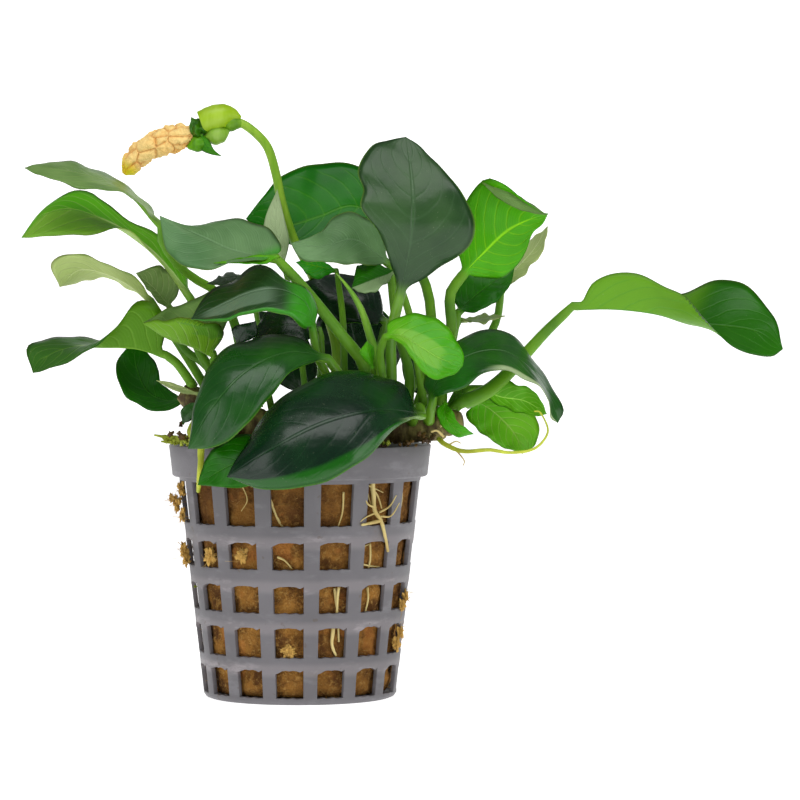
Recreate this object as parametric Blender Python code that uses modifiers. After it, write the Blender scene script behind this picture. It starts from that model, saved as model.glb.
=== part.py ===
"""An anubias plant in a slotted net pot, with its rock wool, rhizome, leaves, flower and roots.

Every size below is in millimetres. The origin is the middle of the pot's foot, +Z is up and the
plant's widest spread lies along X. Each leaf is one solid: a round stalk that grows from the
rhizome and widens into a blade held between three lines, its midrib and its two margins.
"""

import math

import bmesh
import bpy
import numpy as np

MM = 0.001
COLLECTION = "anubias_in_net_pot"

# Net pot: outer radii and heights of the rim, the ledge below it, the wall and the foot
POT_HEIGHT = 53.0
RIM_TOP_RADIUS = 27.5
RIM_LOW_RADIUS = 26.8
LEDGE_HEIGHT = 46.4
WALL_TOP_RADIUS = 25.4
WALL_LOW_RADIUS = 20.2
FOOT_RADIUS = 19.3
FOOT_BEVEL = 0.9
POT_SKIN = 1.0
BARS = 15
BAR_WIDTH = 3.5
BAR_TURN = 7.4
WINDOW_ROWS = [(45.6, 36.9), (33.6, 28.0), (24.6, 19.0), (16.0, 9.8), (7.3, 1.4)]

# Rock wool plug, which stands clear of the wall so that roots can run down beside it
WOOL_GAP = 1.9
WOOL_TOP = 50.6
WOOL_FOOT = 1.4
WOOL_SEGMENTS = 28

# Rhizome: the creeping stem that every stalk grows from, with its rings of old leaf scars
RHIZOME_LINE = [(-25.0, 0.0, 64.0), (-18.0, 0.0, 60.0), (-9.0, 0.5, 57.2), (4.0, 0.5, 56.2),
                (18.0, -1.0, 56.4), (28.0, -2.6, 57.2), (34.0, -3.8, 58.2)]
RHIZOME_RADIUS = 3.4
SCAR_SPACING = 3.6
ROOT_GAP = 0.45

# Leaves
RING_POINTS = 8
STALK_RINGS = 5
BLADE_RINGS = 7
BLADE_HALF_THICKNESS = 0.26
KEEL_DEPTH = 0.35

# Each leaf: where on the rhizome it grows (place along X, turn round the rhizome from straight up,
# minus towards the front), the points its stalk passes, the stalk's radii, then the midrib from
# base to tip and the points of the left and right margins, seen from above with the tip ahead
LEAVES = {
    "leaf_crown": {
        "root": (19.0, -20), "radii": (1.2, 1.1),
        "stalk": [(19.2, -6.0, 67.0), (19.2, -11.0, 76.0)],
        "mid": [(21.0, -14.0, 84.3), (22.8, -17.0, 92.9), (23.7, -18.0, 100.7), (23.4, -15.0, 108.8),
                (22.2, -10.0, 117.0)],
        "left": [(20.0, -14.5, 87.6), (16.7, -19.0, 96.9), (12.9, -20.0, 102.2), (13.5, -18.4, 106.0),
                 (12.3, -17.0, 109.8), (15.0, -13.0, 114.8), (18.4, -11.0, 116.4)],
        "right": [(28.6, -15.0, 89.4), (35.4, -17.0, 94.5), (36.2, -18.0, 100.2), (32.3, -16.0, 107.1),
                  (26.0, -11.0, 114.3)],
    },
    "leaf_crown_left": {
        "root": (22.5, 5), "radii": (1.1, 0.9),
        "stalk": [(23.0, -1.5, 67.5), (20.5, -1.0, 77.0)],
        "mid": [(18.9, -3.0, 90.6), (11.6, -5.0, 95.8), (4.8, -8.0, 94.3), (-1.6, -10.0, 95.0)],
        "left": [(13.7, -8.0, 90.5), (7.5, -10.0, 90.9), (0.5, -11.0, 91.7)],
        "right": [(16.8, -1.0, 97.9), (12.2, -1.0, 101.5), (7.4, -3.0, 100.8), (4.2, -7.0, 97.2)],
    },
    "leaf_back_left": {
        "root": (24.0, 60), "radii": (1.2, 1.0),
        "stalk": [(27.0, 6.5, 68.0), (27.6, 9.0, 80.0), (26.3, 10.5, 87.0), (22.0, 13.0, 95.0)],
        "mid": [(18.5, 14.0, 100.5), (10.7, 14.0, 103.4), (3.7, 12.0, 101.0), (-3.4, 9.0, 99.0),
                (-11.7, 8.0, 100.5)],
        "left": [(15.7, 12.0, 97.0), (9.3, 10.0, 94.5), (0.0, 8.0, 94.5), (-8.3, 8.0, 97.1)],
        "right": [(17.8, 16.0, 106.9), (12.0, 18.0, 112.0), (4.3, 17.0, 112.7), (-4.2, 13.0, 109.8),
                  (-8.0, 10.0, 105.4)],
    },
    "leaf_folded_left": {
        "root": (12.5, -62), "radii": (1.35, 1.05),
        "stalk": [(13.7, -8.5, 69.0), (9.2, -12.0, 75.6), (0.8, -13.0, 86.1)],
        "mid": [(-4.4, -14.0, 91.7), (-13.6, -15.0, 93.5), (-18.3, -16.0, 95.6), (-24.3, -16.0, 98.4),
                (-28.4, -16.0, 100.5)],
        "left": [(-7.1, -18.0, 91.6), (-11.7, -21.0, 91.0), (-17.7, -23.0, 89.5), (-23.9, -22.0, 90.3),
                 (-27.2, -19.0, 94.5)],
        "right": [(-3.7, -8.0, 94.5), (-7.2, -5.0, 98.7), (-12.3, -6.0, 100.1), (-20.6, -11.0, 98.9),
                  (-22.6, -14.2, 98.1)],
    },
    "leaf_upper_left": {
        "root": (-9.0, 10), "radii": (1.1, 0.8),
        "stalk": [(-12.0, 2.5, 70.0), (-14.5, 5.0, 80.0), (-18.6, 4.5, 85.6), (-22.5, 2.0, 87.9),
                  (-26.0, -2.0, 91.2), (-28.6, -5.5, 95.4)],
        "mid": [(-28.9, -7.0, 98.8), (-35.0, -10.0, 105.4), (-42.1, -12.0, 108.5), (-49.1, -14.0, 110.0),
                (-56.3, -14.0, 110.4)],
        "left": [(-31.5, -12.0, 101.5), (-35.4, -16.0, 105.2), (-41.0, -20.0, 105.5), (-47.3, -20.0, 106.9),
                 (-52.9, -17.0, 108.7)],
        "right": [(-30.5, -4.0, 101.5), (-32.5, -3.0, 104.5), (-42.0, -3.0, 110.5), (-48.0, -6.0, 112.0),
                  (-53.5, -11.0, 111.6)],
    },
    "leaf_bright_left": {
        "root": (-14.6, 0), "radii": (1.1, 0.9),
        "stalk": [(-18.0, -1.0, 67.5), (-21.8, 1.2, 74.0)],
        "mid": [(-23.1, 3.5, 83.5), (-29.0, 3.0, 91.5), (-35.8, 2.0, 97.2), (-42.3, 1.0, 100.5),
                (-48.2, -1.0, 102.3), (-53.2, -4.0, 101.0), (-57.8, -6.0, 96.2)],
        "left": [(-28.4, 1.0, 90.0), (-35.5, -3.0, 97.9), (-41.3, -8.0, 97.2), (-47.4, -10.0, 96.5),
                 (-53.2, -9.0, 96.3)],
        "right": [(-23.4, 6.0, 87.5), (-29.4, 6.0, 96.8), (-35.8, 5.5, 99.6), (-41.5, 7.0, 104.2),
                  (-44.8, 8.0, 106.6), (-50.5, 3.0, 105.0), (-54.8, -2.0, 101.3)],
    },
    "leaf_pale_left": {
        "root": (-18.5, 60), "radii": (1.0, 0.8),
        "stalk": [(-21.5, 6.5, 67.0), (-25.5, 10.0, 73.0), (-29.5, 11.5, 79.0)],
        "mid": [(-32.0, 11.0, 83.1), (-36.3, 9.5, 86.7), (-41.8, 8.0, 89.2), (-47.1, 6.0, 89.6),
                (-50.8, 4.0, 86.0)],
        "left": [(-33.7, 9.0, 86.7), (-38.0, 7.0, 89.8), (-42.6, 5.0, 91.5), (-47.5, 4.0, 93.3),
                 (-52.6, 4.0, 91.0)],
        "right": [(-35.3, 12.0, 84.8), (-42.0, 11.0, 88.0), (-47.0, 9.0, 86.9)],
    },
    "leaf_small_left": {
        "root": (-17.8, 22), "radii": (0.9, 0.7),
        "stalk": [(-19.6, 4.0, 69.0), (-24.6, 5.0, 73.0), (-27.0, 6.8, 78.0)],
        "mid": [(-27.7, 7.0, 81.6), (-30.8, 6.0, 85.4), (-34.8, 5.0, 89.0)],
        "left": [(-29.7, 5.0, 82.4), (-32.0, 4.0, 85.2)],
        "right": [(-25.7, 8.0, 86.3), (-29.7, 8.0, 90.5)],
    },
    "leaf_twisted_left": {
        "root": (-22.5, -35), "radii": (1.0, 0.9),
        "stalk": [(-25.6, -1.5, 69.8)],
        "mid": [(-28.1, 0.0, 71.7), (-34.0, 0.0, 73.4), (-41.2, 0.0, 73.6), (-47.4, -1.0, 73.4),
                (-52.6, -3.0, 71.5), (-55.7, -4.0, 68.0)],
        "left": [(-28.0, -2.0, 78.0), (-29.8, -3.0, 82.4), (-33.8, -3.0, 82.8), (-38.6, -3.0, 77.6),
                 (-41.6, -5.0, 73.9), (-46.7, -8.0, 71.2), (-52.7, -7.0, 68.5)],
        "right": [(-31.8, 5.0, 73.8), (-38.4, 8.0, 74.8), (-42.9, 8.0, 75.0), (-48.1, 7.0, 75.4),
                  (-53.9, 4.0, 75.3), (-57.3, 0.0, 72.8)],
    },
    "leaf_curved_left": {
        "root": (-22.0, 75), "radii": (0.9, 0.8),
        "stalk": [],
        "mid": [(-23.5, 6.0, 62.5), (-28.0, 7.0, 61.9), (-32.6, 9.0, 63.8), (-35.2, 12.0, 68.8),
                (-36.0, 14.0, 74.8)],
        "left": [(-25.5, 4.0, 60.8), (-31.5, 4.0, 59.9), (-37.0, 6.0, 63.0), (-39.5, 10.0, 69.3)],
        "right": [(-25.6, 8.5, 62.7), (-29.6, 11.0, 65.5), (-31.5, 14.0, 70.5)],
    },
    "leaf_boat_left": {
        "root": (-15.5, -50), "radii": (1.0, 0.9),
        "stalk": [(-17.3, -6.5, 66.5)],
        "mid": [(-17.8, -6.5, 72.0), (-21.6, -9.0, 73.7), (-27.1, -10.0, 75.4), (-32.3, -10.0, 78.5)],
        "left": [(-15.5, -10.0, 77.0), (-21.3, -14.0, 79.3), (-27.5, -13.0, 79.3)],
        "right": [(-13.9, 0.0, 83.3), (-15.8, 2.0, 86.2), (-21.3, 1.0, 83.9), (-27.5, -4.0, 81.4)],
    },
    "leaf_middle_left": {
        "root": (6.5, -55), "radii": (0.95, 0.85),
        "stalk": [(5.8, -9.5, 67.5), (3.9, -12.3, 71.5)],
        "mid": [(3.1, -16.0, 76.9), (1.8, -20.0, 82.6), (-3.6, -19.0, 85.3), (-9.7, -19.0, 84.6),
                (-16.4, -20.0, 81.6), (-21.7, -21.0, 79.3)],
        "left": [(1.2, -21.0, 77.5), (-1.4, -24.0, 79.5), (-5.4, -26.0, 81.0), (-11.5, -26.0, 79.7),
                 (-17.3, -24.0, 78.7)],
        "right": [(4.3, -16.0, 80.1), (2.5, -16.0, 84.7), (-1.9, -14.5, 87.4), (-8.4, -12.0, 90.5),
                  (-12.9, -13.0, 87.8), (-19.1, -17.0, 84.0)],
    },
    "leaf_withered": {
        "root": (-6.0, 20), "radii": (0.7, 0.5),
        "stalk": [(-8.0, 1.0, 70.0), (-9.0, -1.5, 80.0)],
        "mid": [(-11.7, -2.5, 88.3), (-15.4, -4.5, 87.6), (-19.2, -6.5, 86.6)],
        "left": [(-15.2, -8.0, 86.2)],
        "right": [(-14.9, 0.0, 89.1)],
    },
    "leaf_front_left": {
        "root": (9.5, -62), "radii": (1.1, 1.0),
        "stalk": [(9.3, -11.0, 66.0)],
        "mid": [(6.2, -16.0, 71.1), (-1.4, -23.0, 72.6), (-10.3, -30.0, 68.6), (-16.9, -32.0, 61.4),
                (-21.8, -30.0, 53.1)],
        "left": [(2.6, -22.0, 70.3), (-0.9, -27.0, 68.6), (-4.8, -31.0, 64.2), (-10.1, -34.0, 57.7),
                 (-16.2, -33.0, 53.6)],
        "right": [(0.4, -16.0, 75.4), (-7.1, -18.0, 75.8), (-14.7, -23.0, 73.2), (-18.7, -27.0, 68.0),
                  (-20.9, -29.0, 59.9)],
    },
    "leaf_front": {
        "root": (23.5, -70), "radii": (1.1, 1.0),
        "stalk": [(25.0, -11.0, 61.0)],
        "mid": [(25.5, -14.5, 59.4), (17.0, -27.0, 60.9), (5.9, -33.0, 58.6), (-5.1, -35.0, 53.1),
                (-13.9, -31.5, 47.5)],
        "left": [(19.8, -27.0, 57.0), (13.6, -34.0, 50.8), (4.0, -37.0, 46.2), (-6.3, -35.0, 45.1)],
        "right": [(23.5, -14.0, 63.5), (19.8, -16.0, 67.0), (7.3, -20.0, 68.5), (-4.5, -27.0, 62.1),
                  (-10.7, -30.0, 53.5)],
    },
    "leaf_front_lower": {
        "root": (1.0, -62), "radii": (1.0, 0.8),
        "stalk": [(0.5, -13.0, 60.5), (-2.0, -23.0, 58.5)],
        "mid": [(-4.3, -28.0, 55.9), (-9.3, -30.0, 51.9), (-14.4, -29.0, 49.2), (-20.1, -25.5, 45.6)],
        "left": [(-6.8, -30.5, 46.9), (-11.3, -31.0, 45.3), (-16.0, -29.0, 45.4)],
        "right": [(-12.4, -27.8, 55.8), (-16.5, -27.5, 53.2), (-18.8, -26.5, 50.3)],
    },
    "leaf_shaded": {
        "root": (3.0, -15), "radii": (0.9, 0.8),
        "stalk": [(4.5, -4.0, 68.0)],
        "mid": [(4.4, -8.0, 77.0), (-2.9, -9.0, 78.1), (-10.2, -8.0, 76.0)],
        "left": [(0.5, -11.5, 74.0), (-4.5, -13.0, 72.9)],
        "right": [(0.5, -5.5, 81.5), (-5.0, -5.0, 82.0)],
    },
    "leaf_shaded_small": {
        "root": (-11.0, -50), "radii": (0.8, 0.6),
        "stalk": [(-12.3, -8.0, 67.0)],
        "mid": [(-12.7, -12.0, 74.1), (-11.0, -14.0, 76.8), (-8.7, -14.5, 78.9)],
        "left": [(-13.7, -13.0, 77.4)],
        "right": [(-8.3, -14.0, 76.0)],
    },
    "leaf_shaded_back": {
        "root": (13.5, 65), "radii": (1.0, 0.9),
        "stalk": [(16.0, 6.0, 69.0)],
        "mid": [(18.0, 4.5, 78.6), (13.0, 3.5, 82.6), (6.2, 3.5, 84.8), (-0.5, 4.0, 86.7)],
        "left": [(14.7, 0.5, 78.0), (6.3, 0.0, 79.5)],
        "right": [(15.7, 8.0, 86.1), (7.2, 8.0, 89.0)],
    },
    "leaf_inner": {
        "root": (17.0, 90), "radii": (1.0, 0.8),
        "stalk": [(15.8, 9.0, 59.8)],
        "mid": [(13.8, 13.0, 64.0), (12.4, 15.0, 71.0), (10.8, 14.5, 78.0), (9.0, 12.8, 84.5)],
        "left": [(8.0, 14.5, 67.5), (3.6, 15.0, 73.0), (3.4, 14.0, 79.5)],
        "right": [(19.5, 14.5, 68.0), (21.5, 14.5, 74.0), (17.5, 13.5, 81.0)],
    },
    "leaf_inner_left": {
        "root": (1.0, 78), "radii": (1.0, 0.8),
        "stalk": [(0.8, 8.5, 60.0)],
        "mid": [(0.2, 11.0, 63.0), (-2.5, 13.0, 69.5), (-5.5, 12.5, 75.5), (-9.0, 10.8, 81.0)],
        "left": [(-5.5, 12.5, 66.0), (-9.5, 12.5, 71.5), (-10.5, 11.5, 77.0)],
        "right": [(3.3, 12.6, 67.5), (2.0, 13.2, 73.5), (-2.0, 12.4, 79.5)],
    },
    "leaf_inner_right": {
        "root": (26.6, 96), "radii": (1.0, 0.8),
        "stalk": [(26.9, 9.8, 57.6)],
        "mid": [(27.0, 13.4, 62.0), (27.6, 16.0, 66.5), (28.4, 16.4, 71.5), (28.8, 15.0, 76.5)],
        "left": [(22.5, 15.0, 65.0), (21.8, 16.0, 71.0)],
        "right": [(32.4, 15.4, 65.0), (33.6, 16.0, 71.0)],
    },
    "leaf_young_back": {
        "root": (9.0, 0), "radii": (0.8, 0.6),
        "stalk": [(9.3, -2.5, 70.0), (9.0, -3.5, 80.0)],
        "mid": [(7.7, 0.5, 89.4), (3.1, 1.0, 90.4), (-0.9, 1.5, 91.2)],
        "left": [(3.2, -1.5, 87.7)],
        "right": [(3.1, 3.5, 92.6)],
    },
    "leaf_striped": {
        "root": (26.0, 5), "radii": (0.9, 0.7),
        "stalk": [(25.0, -4.5, 68.0), (23.0, -6.0, 80.0)],
        "mid": [(20.0, -7.0, 89.1), (15.2, -9.0, 87.6), (11.0, -10.5, 85.7)],
        "left": [(17.9, -12.0, 86.3), (14.0, -13.0, 84.5)],
        "right": [(17.0, -5.0, 90.6), (12.6, -5.0, 90.8)],
    },
    "leaf_bright_right": {
        "root": (29.5, 5), "radii": (1.2, 1.1),
        "stalk": [(30.2, 0.3, 69.0), (31.8, -0.8, 77.0), (31.5, -2.5, 84.5)],
        "mid": [(34.0, -2.0, 88.3), (38.6, 0.0, 93.3), (43.1, 1.0, 97.6), (47.7, 0.0, 100.1),
                (52.0, -2.0, 101.3)],
        "left": [(38.9, 2.0, 87.9), (42.7, 3.0, 88.1), (46.9, 3.0, 92.1), (48.6, 2.0, 96.7),
                 (51.0, 0.0, 99.2)],
        "right": [(33.2, 2.0, 94.9), (34.0, 1.0, 101.1), (36.1, -2.0, 105.9), (39.8, -5.0, 108.7),
                  (45.8, -6.0, 104.9), (50.2, -4.0, 101.8)],
    },
    "leaf_pale_right": {
        "root": (31.5, 45), "radii": (1.0, 0.8),
        "stalk": [(35.5, 8.0, 68.0), (41.5, 14.8, 78.5)],
        "mid": [(42.6, 13.0, 85.0), (46.5, 11.0, 90.1), (49.9, 10.0, 94.3), (52.3, 8.0, 98.9)],
        "left": [(46.6, 8.0, 88.1), (50.5, 7.5, 92.4), (52.0, 7.0, 96.0)],
        "right": [(44.5, 15.0, 90.1), (47.7, 15.0, 95.0)],
    },
    "leaf_shaded_right": {
        "root": (27.5, 60), "radii": (1.0, 0.9),
        "stalk": [(31.0, 4.5, 70.0)],
        "mid": [(33.2, 4.5, 80.5), (37.3, 5.0, 84.5), (41.5, 6.0, 87.5), (45.3, 7.5, 90.1)],
        "left": [(32.3, 8.0, 85.4), (34.8, 9.0, 89.7), (40.1, 9.5, 91.4)],
        "right": [(37.8, 2.5, 81.0), (42.0, 3.5, 83.5), (44.4, 5.5, 86.7)],
    },
    "leaf_thin_right": {
        "root": (20.0, 65), "radii": (0.8, 0.6),
        "stalk": [(24.5, 9.0, 66.0), (30.0, 10.5, 73.0)],
        "mid": [(34.0, 10.0, 79.0), (38.6, 9.0, 79.3), (43.3, 8.5, 79.9)],
        "left": [(38.7, 12.4, 80.3)],
        "right": [(38.5, 4.5, 78.4)],
    },
    "leaf_young_front": {
        "root": (16.5, -62), "radii": (1.0, 0.8),
        "stalk": [(17.3, -12.5, 67.7), (16.9, -16.0, 72.5)],
        "mid": [(17.9, -18.0, 75.6), (21.0, -20.0, 76.0), (24.9, -22.0, 73.8), (29.2, -23.0, 71.2),
                (33.8, -24.0, 69.8)],
        "left": [(18.1, -17.0, 78.3), (22.0, -17.0, 80.1), (27.2, -18.0, 80.1), (31.2, -20.0, 77.1),
                 (34.0, -23.0, 72.0)],
        "right": [(19.8, -21.0, 75.0), (22.0, -23.0, 73.4), (25.1, -25.0, 69.0), (27.9, -26.0, 67.2),
                  (31.6, -26.0, 67.8)],
    },
    "leaf_young_small": {
        "root": (15.2, -25), "radii": (0.6, 0.5),
        "stalk": [(15.8, -7.1, 65.6)],
        "mid": [(15.3, -12.8, 69.2), (14.4, -15.0, 72.1), (14.2, -15.0, 74.8)],
        "left": [(12.7, -15.0, 72.3)],
        "right": [(15.7, -13.2, 73.2)],
    },
    "leaf_arched_right": {
        "root": (27.0, -72), "radii": (1.1, 1.0),
        "stalk": [],
        "mid": [(27.5, -8.8, 61.0), (28.9, -9.0, 66.6), (35.1, -9.0, 71.6), (42.4, -8.0, 72.6),
                (48.5, -7.0, 68.7), (52.5, -6.0, 62.4), (53.9, -6.0, 57.6)],
        "left": [(25.6, -5.8, 65.5), (29.0, -3.5, 71.7), (34.7, -2.0, 75.9), (41.6, -1.0, 77.0),
                 (47.8, -2.0, 72.8), (52.2, -3.0, 65.7), (55.2, -5.0, 60.3)],
        "right": [(28.7, -12.0, 63.0), (33.0, -14.0, 64.5), (37.5, -15.0, 67.6), (42.7, -14.0, 68.6),
                  (48.3, -12.0, 66.1), (52.0, -9.5, 62.1), (52.3, -8.4, 58.9)],
    },
    "leaf_far_right": {
        "root": (32.5, -25), "radii": (1.6, 0.95),
        "stalk": [(38.4, -2.5, 63.6), (43.5, 1.5, 67.6), (48.0, 3.5, 72.5), (52.1, 2.5, 77.0)],
        "mid": [(57.3, 0.0, 82.0), (66.6, 0.0, 81.8), (75.2, 0.0, 80.6), (82.5, -1.0, 78.2),
                (88.5, -2.5, 77.8), (95.5, -5.0, 76.6), (100.8, -6.0, 73.0)],
        "left": [(63.2, 4.0, 82.6), (71.9, 8.0, 83.3), (80.5, 9.0, 84.8), (88.3, 6.0, 87.5),
                 (94.4, 3.0, 86.0), (99.2, -1.0, 80.1)],
        "right": [(59.8, -2.0, 86.0), (66.6, -3.0, 88.9), (74.3, -4.0, 87.4), (80.4, -6.0, 83.7),
                  (86.3, -10.0, 77.0), (92.3, -12.0, 72.1), (98.2, -9.0, 71.6)],
    },
    "leaf_yellow_right": {
        "root": (33.0, 20), "radii": (0.9, 0.8),
        "stalk": [(35.0, 1.5, 64.3)],
        "mid": [(38.5, 4.0, 64.6), (42.2, 5.5, 63.2), (47.5, 5.5, 62.1), (52.0, 3.5, 59.2)],
        "left": [(41.2, 8.5, 61.2), (46.5, 8.5, 59.3), (50.0, 6.0, 58.7)],
        "right": [(40.6, 4.5, 66.8), (45.2, 3.0, 65.8), (49.9, 3.0, 63.5)],
    },
    "leaf_lower_right": {
        "root": (31.0, 85), "radii": (0.9, 0.8),
        "stalk": [(33.5, 6.5, 60.8)],
        "mid": [(36.2, 9.5, 61.6), (39.0, 10.5, 60.8), (42.7, 11.0, 57.8), (45.7, 11.0, 54.2),
                (47.1, 9.5, 50.6)],
        "left": [(41.3, 13.0, 62.4), (47.7, 14.0, 60.9), (50.6, 13.0, 56.7), (49.9, 11.0, 52.5)],
        "right": [(35.0, 8.5, 58.5), (37.5, 7.5, 55.8), (41.1, 7.5, 53.0), (44.7, 8.5, 51.3)],
    },
    "leaf_curled_right": {
        "root": (30.0, -68), "radii": (0.7, 0.6),
        "stalk": [],
        "mid": [(30.4, -9.0, 62.0), (30.5, -11.5, 58.9), (32.2, -12.2, 56.8), (34.0, -12.2, 55.7),
                (36.3, -11.0, 55.5)],
        "left": [(31.9, -12.5, 60.3), (32.8, -13.0, 58.2), (34.5, -13.0, 56.9)],
        "right": [(28.6, -10.5, 60.5), (29.5, -11.2, 57.4), (32.6, -11.4, 54.9)],
    },
}

# Rolled spear of a leaf that has not opened yet: its line and its radii from root to point
SPEAR_ROOT = (16.0, 8)
SPEAR_LINE = [(16.2, -8.6, 70.8), (14.9, -9.2, 75.4), (12.9, -11.0, 81.4), (10.5, -12.0, 85.5),
              (7.8, -12.0, 88.8)]
SPEAR_RADII = [0.9, 0.95, 0.95, 0.85, 0.6, 0.12]

# Flower: the stalk, the bract wrapped round its top, the spike, and the thin sheath beside it
PEDUNCLE_ROOT = (5.5, 60)
PEDUNCLE_LINE = [(7.5, 9.5, 72.0), (4.0, 11.0, 84.0), (1.2, 6.5, 91.0), (-1.3, 4.0, 95.9),
                 (-3.9, 4.0, 103.8), (-5.2, 4.0, 110.0), (-6.9, 4.0, 115.4), (-9.6, 4.0, 118.6),
                 (-12.6, 4.0, 120.6)]
PEDUNCLE_RADII = [1.1, 1.05, 1.0, 0.95, 0.95, 0.95, 0.95, 0.95, 0.95, 0.9]
SPADIX_LINE = [(-22.6, 4.0, 118.0), (-27.1, 4.0, 117.2), (-30.5, 4.0, 116.0), (-33.9, 4.0, 113.9),
               (-37.2, 4.0, 109.8)]
SPADIX_RADII = [1.2, 2.6, 2.9, 2.6, 3.1, 2.7, 3.0, 2.5, 2.7, 2.1, 2.2, 1.7, 0.7]
SPADIX_POINTS = 10
SPATHE_LINE = [(-13.3, 4.0, 121.1), (-14.6, 4.0, 121.7), (-16.6, 4.0, 121.7), (-18.8, 4.0, 120.9),
               (-20.6, 4.0, 119.6), (-22.0, 4.0, 118.4)]
SPATHE_RADII = [0.8, 2.0, 2.6, 2.75, 2.7, 2.5, 2.2, 1.9, 1.5]
SHEATH = {
    "root": (1.5, 35), "radii": (0.7, 0.5),
    "stalk": [(0.0, 5.5, 72.0), (-2.0, 4.0, 84.0)],
    "mid": [(-3.4, 1.5, 90.5), (-4.9, 1.2, 98.0), (-4.8, 1.6, 106.6)],
    "left": [(-6.4, 0.6, 93.0), (-7.6, 0.8, 99.2)],
    "right": [(-2.3, 0.8, 95.5), (-3.4, 1.0, 101.0)],
}

# Roots: each a line of points and the radii at its two ends
ROOTS = {
    "root_aerial": ([(29.0, -9.2, 54.4), (30.6, -11.6, 53.2), (34.2, -13.6, 52.0), (39.4, -14.0, 52.3),
                     (44.0, -13.0, 51.7), (49.0, -12.0, 52.6), (51.6, -11.5, 56.0), (50.0, -11.0, 60.0),
                     (48.8, -10.6, 60.2)], (0.55, 0.16)),
    "root_over_rim": ([(-19.6, -22.4, 53.8), (-19.6, -23.6, 50.2), (-19.9, -23.4, 47.0),
                       (-20.4, -19.0, 44.0)], (0.75, 0.4)),
    "root_window_left": ([(-5.6, -22.9, 42.6), (-4.0, -22.5, 38.6), (-2.2, -22.1, 35.6)], (0.34, 0.24)),
    "root_window_right": ([(15.3, -17.4, 45.4), (16.2, -15.9, 40.0), (16.8, -15.0, 34.6)], (0.36, 0.26)),
    "root_window_low": ([(7.6, -19.9, 24.2), (8.2, -18.9, 18.0), (8.4, -18.3, 13.0)], (0.32, 0.2)),
}

MATERIALS = {
    "pot_plastic": ((0.27, 0.26, 0.29), 0.45, 0.0),
    "rock_wool": ((0.42, 0.25, 0.06), 0.95, 0.0),
    "rhizome_skin": ((0.20, 0.17, 0.05), 0.7, 0.0),
    "leaf_dark": ((0.02, 0.08, 0.025), 0.35, 0.0),
    "leaf_mid": ((0.045, 0.16, 0.02), 0.4, 0.0),
    "leaf_bright": ((0.10, 0.34, 0.02), 0.42, 0.0),
    "leaf_pale": ((0.30, 0.48, 0.12), 0.5, 0.0),
    "stalk_green": ((0.22, 0.44, 0.04), 0.45, 0.0),
    "flower_spike": ((0.85, 0.58, 0.17), 0.6, 0.0),
    "bract_green": ((0.28, 0.46, 0.05), 0.5, 0.0),
    "root_pale": ((0.62, 0.56, 0.22), 0.6, 0.0),
}

LEAF_MATERIALS = {
    "leaf_bright": ["leaf_bright_left", "leaf_bright_right", "leaf_young_front", "leaf_young_small",
                    "leaf_young_back", "leaf_back_left"],
    "leaf_pale": ["leaf_pale_left", "leaf_pale_right", "leaf_thin_right", "leaf_yellow_right",
                  "leaf_curled_right", "leaf_striped"],
    "leaf_mid": ["leaf_upper_left", "leaf_folded_left", "leaf_twisted_left", "leaf_boat_left",
                 "leaf_middle_left", "leaf_crown_left", "leaf_small_left", "leaf_lower_right",
                 "leaf_far_right", "leaf_withered"],
}


def unit(vector):
    return vector / max(np.linalg.norm(vector), 1e-9)


def rotate_to(vector, start, end):
    """The vector turned by the smallest turn that takes direction start to direction end."""
    axis = np.cross(start, end)
    cosine = float(np.clip(np.dot(start, end), -0.9999, 1.0))
    return vector * cosine + np.cross(axis, vector) + axis * np.dot(axis, vector) / (1.0 + cosine)


def smooth_line(points, count):
    """Count points evenly spaced along a smooth line through the given points."""
    given = [np.array(point, dtype=float) for point in points]
    ends = [2 * given[0] - given[1]] + given + [2 * given[-1] - given[-2]]
    fine = [given[0]]
    for before, start, end, after in zip(ends, ends[1:], ends[2:], ends[3:]):
        length = np.linalg.norm(end - start)
        slope_in = (end - before) * length / (np.linalg.norm(start - before) + length)
        slope_out = (after - start) * length / (np.linalg.norm(after - end) + length)
        for step in range(1, 13):
            t = step / 12
            fine.append(start * (2 * t ** 3 - 3 * t ** 2 + 1) + end * (3 * t ** 2 - 2 * t ** 3)
                        + slope_in * (t ** 3 - 2 * t ** 2 + t) + slope_out * (t ** 3 - t ** 2))
    fine = np.array(fine)
    reach = np.concatenate([[0.0], np.cumsum(np.linalg.norm(np.diff(fine, axis=0), axis=1))])
    places = np.linspace(0.0, reach[-1], count)
    return np.column_stack([np.interp(places, reach, fine[:, axis]) for axis in range(3)])


def rhizome_centre(x):
    """The middle of the rhizome at a place along X."""
    line = smooth_line(RHIZOME_LINE, 60)
    return np.array([x, np.interp(x, line[:, 0], line[:, 1]), np.interp(x, line[:, 0], line[:, 2])])


def root_start(root):
    """The point where a stalk leaves the rhizome, and the direction it leaves in."""
    x, turn = root
    direction = np.array([0.0, math.sin(math.radians(turn)), math.cos(math.radians(turn))])
    return rhizome_centre(x) + direction * (RHIZOME_RADIUS + ROOT_GAP), direction


def tangents(line):
    """Unit directions along a line of points."""
    return np.array([unit(direction) for direction in np.gradient(line, axis=0)])


def leaf_rails(spec, rings):
    """The midrib and the two margins of a blade, each as rings + 1 points from base to tip."""
    base, tip = spec["mid"][0], spec["mid"][-1]
    mid = smooth_line(spec["mid"], rings + 1)
    left = smooth_line([base] + spec["left"] + [tip], rings + 1)
    right = smooth_line([base] + spec["right"] + [tip], rings + 1)
    return mid, left, right


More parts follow.
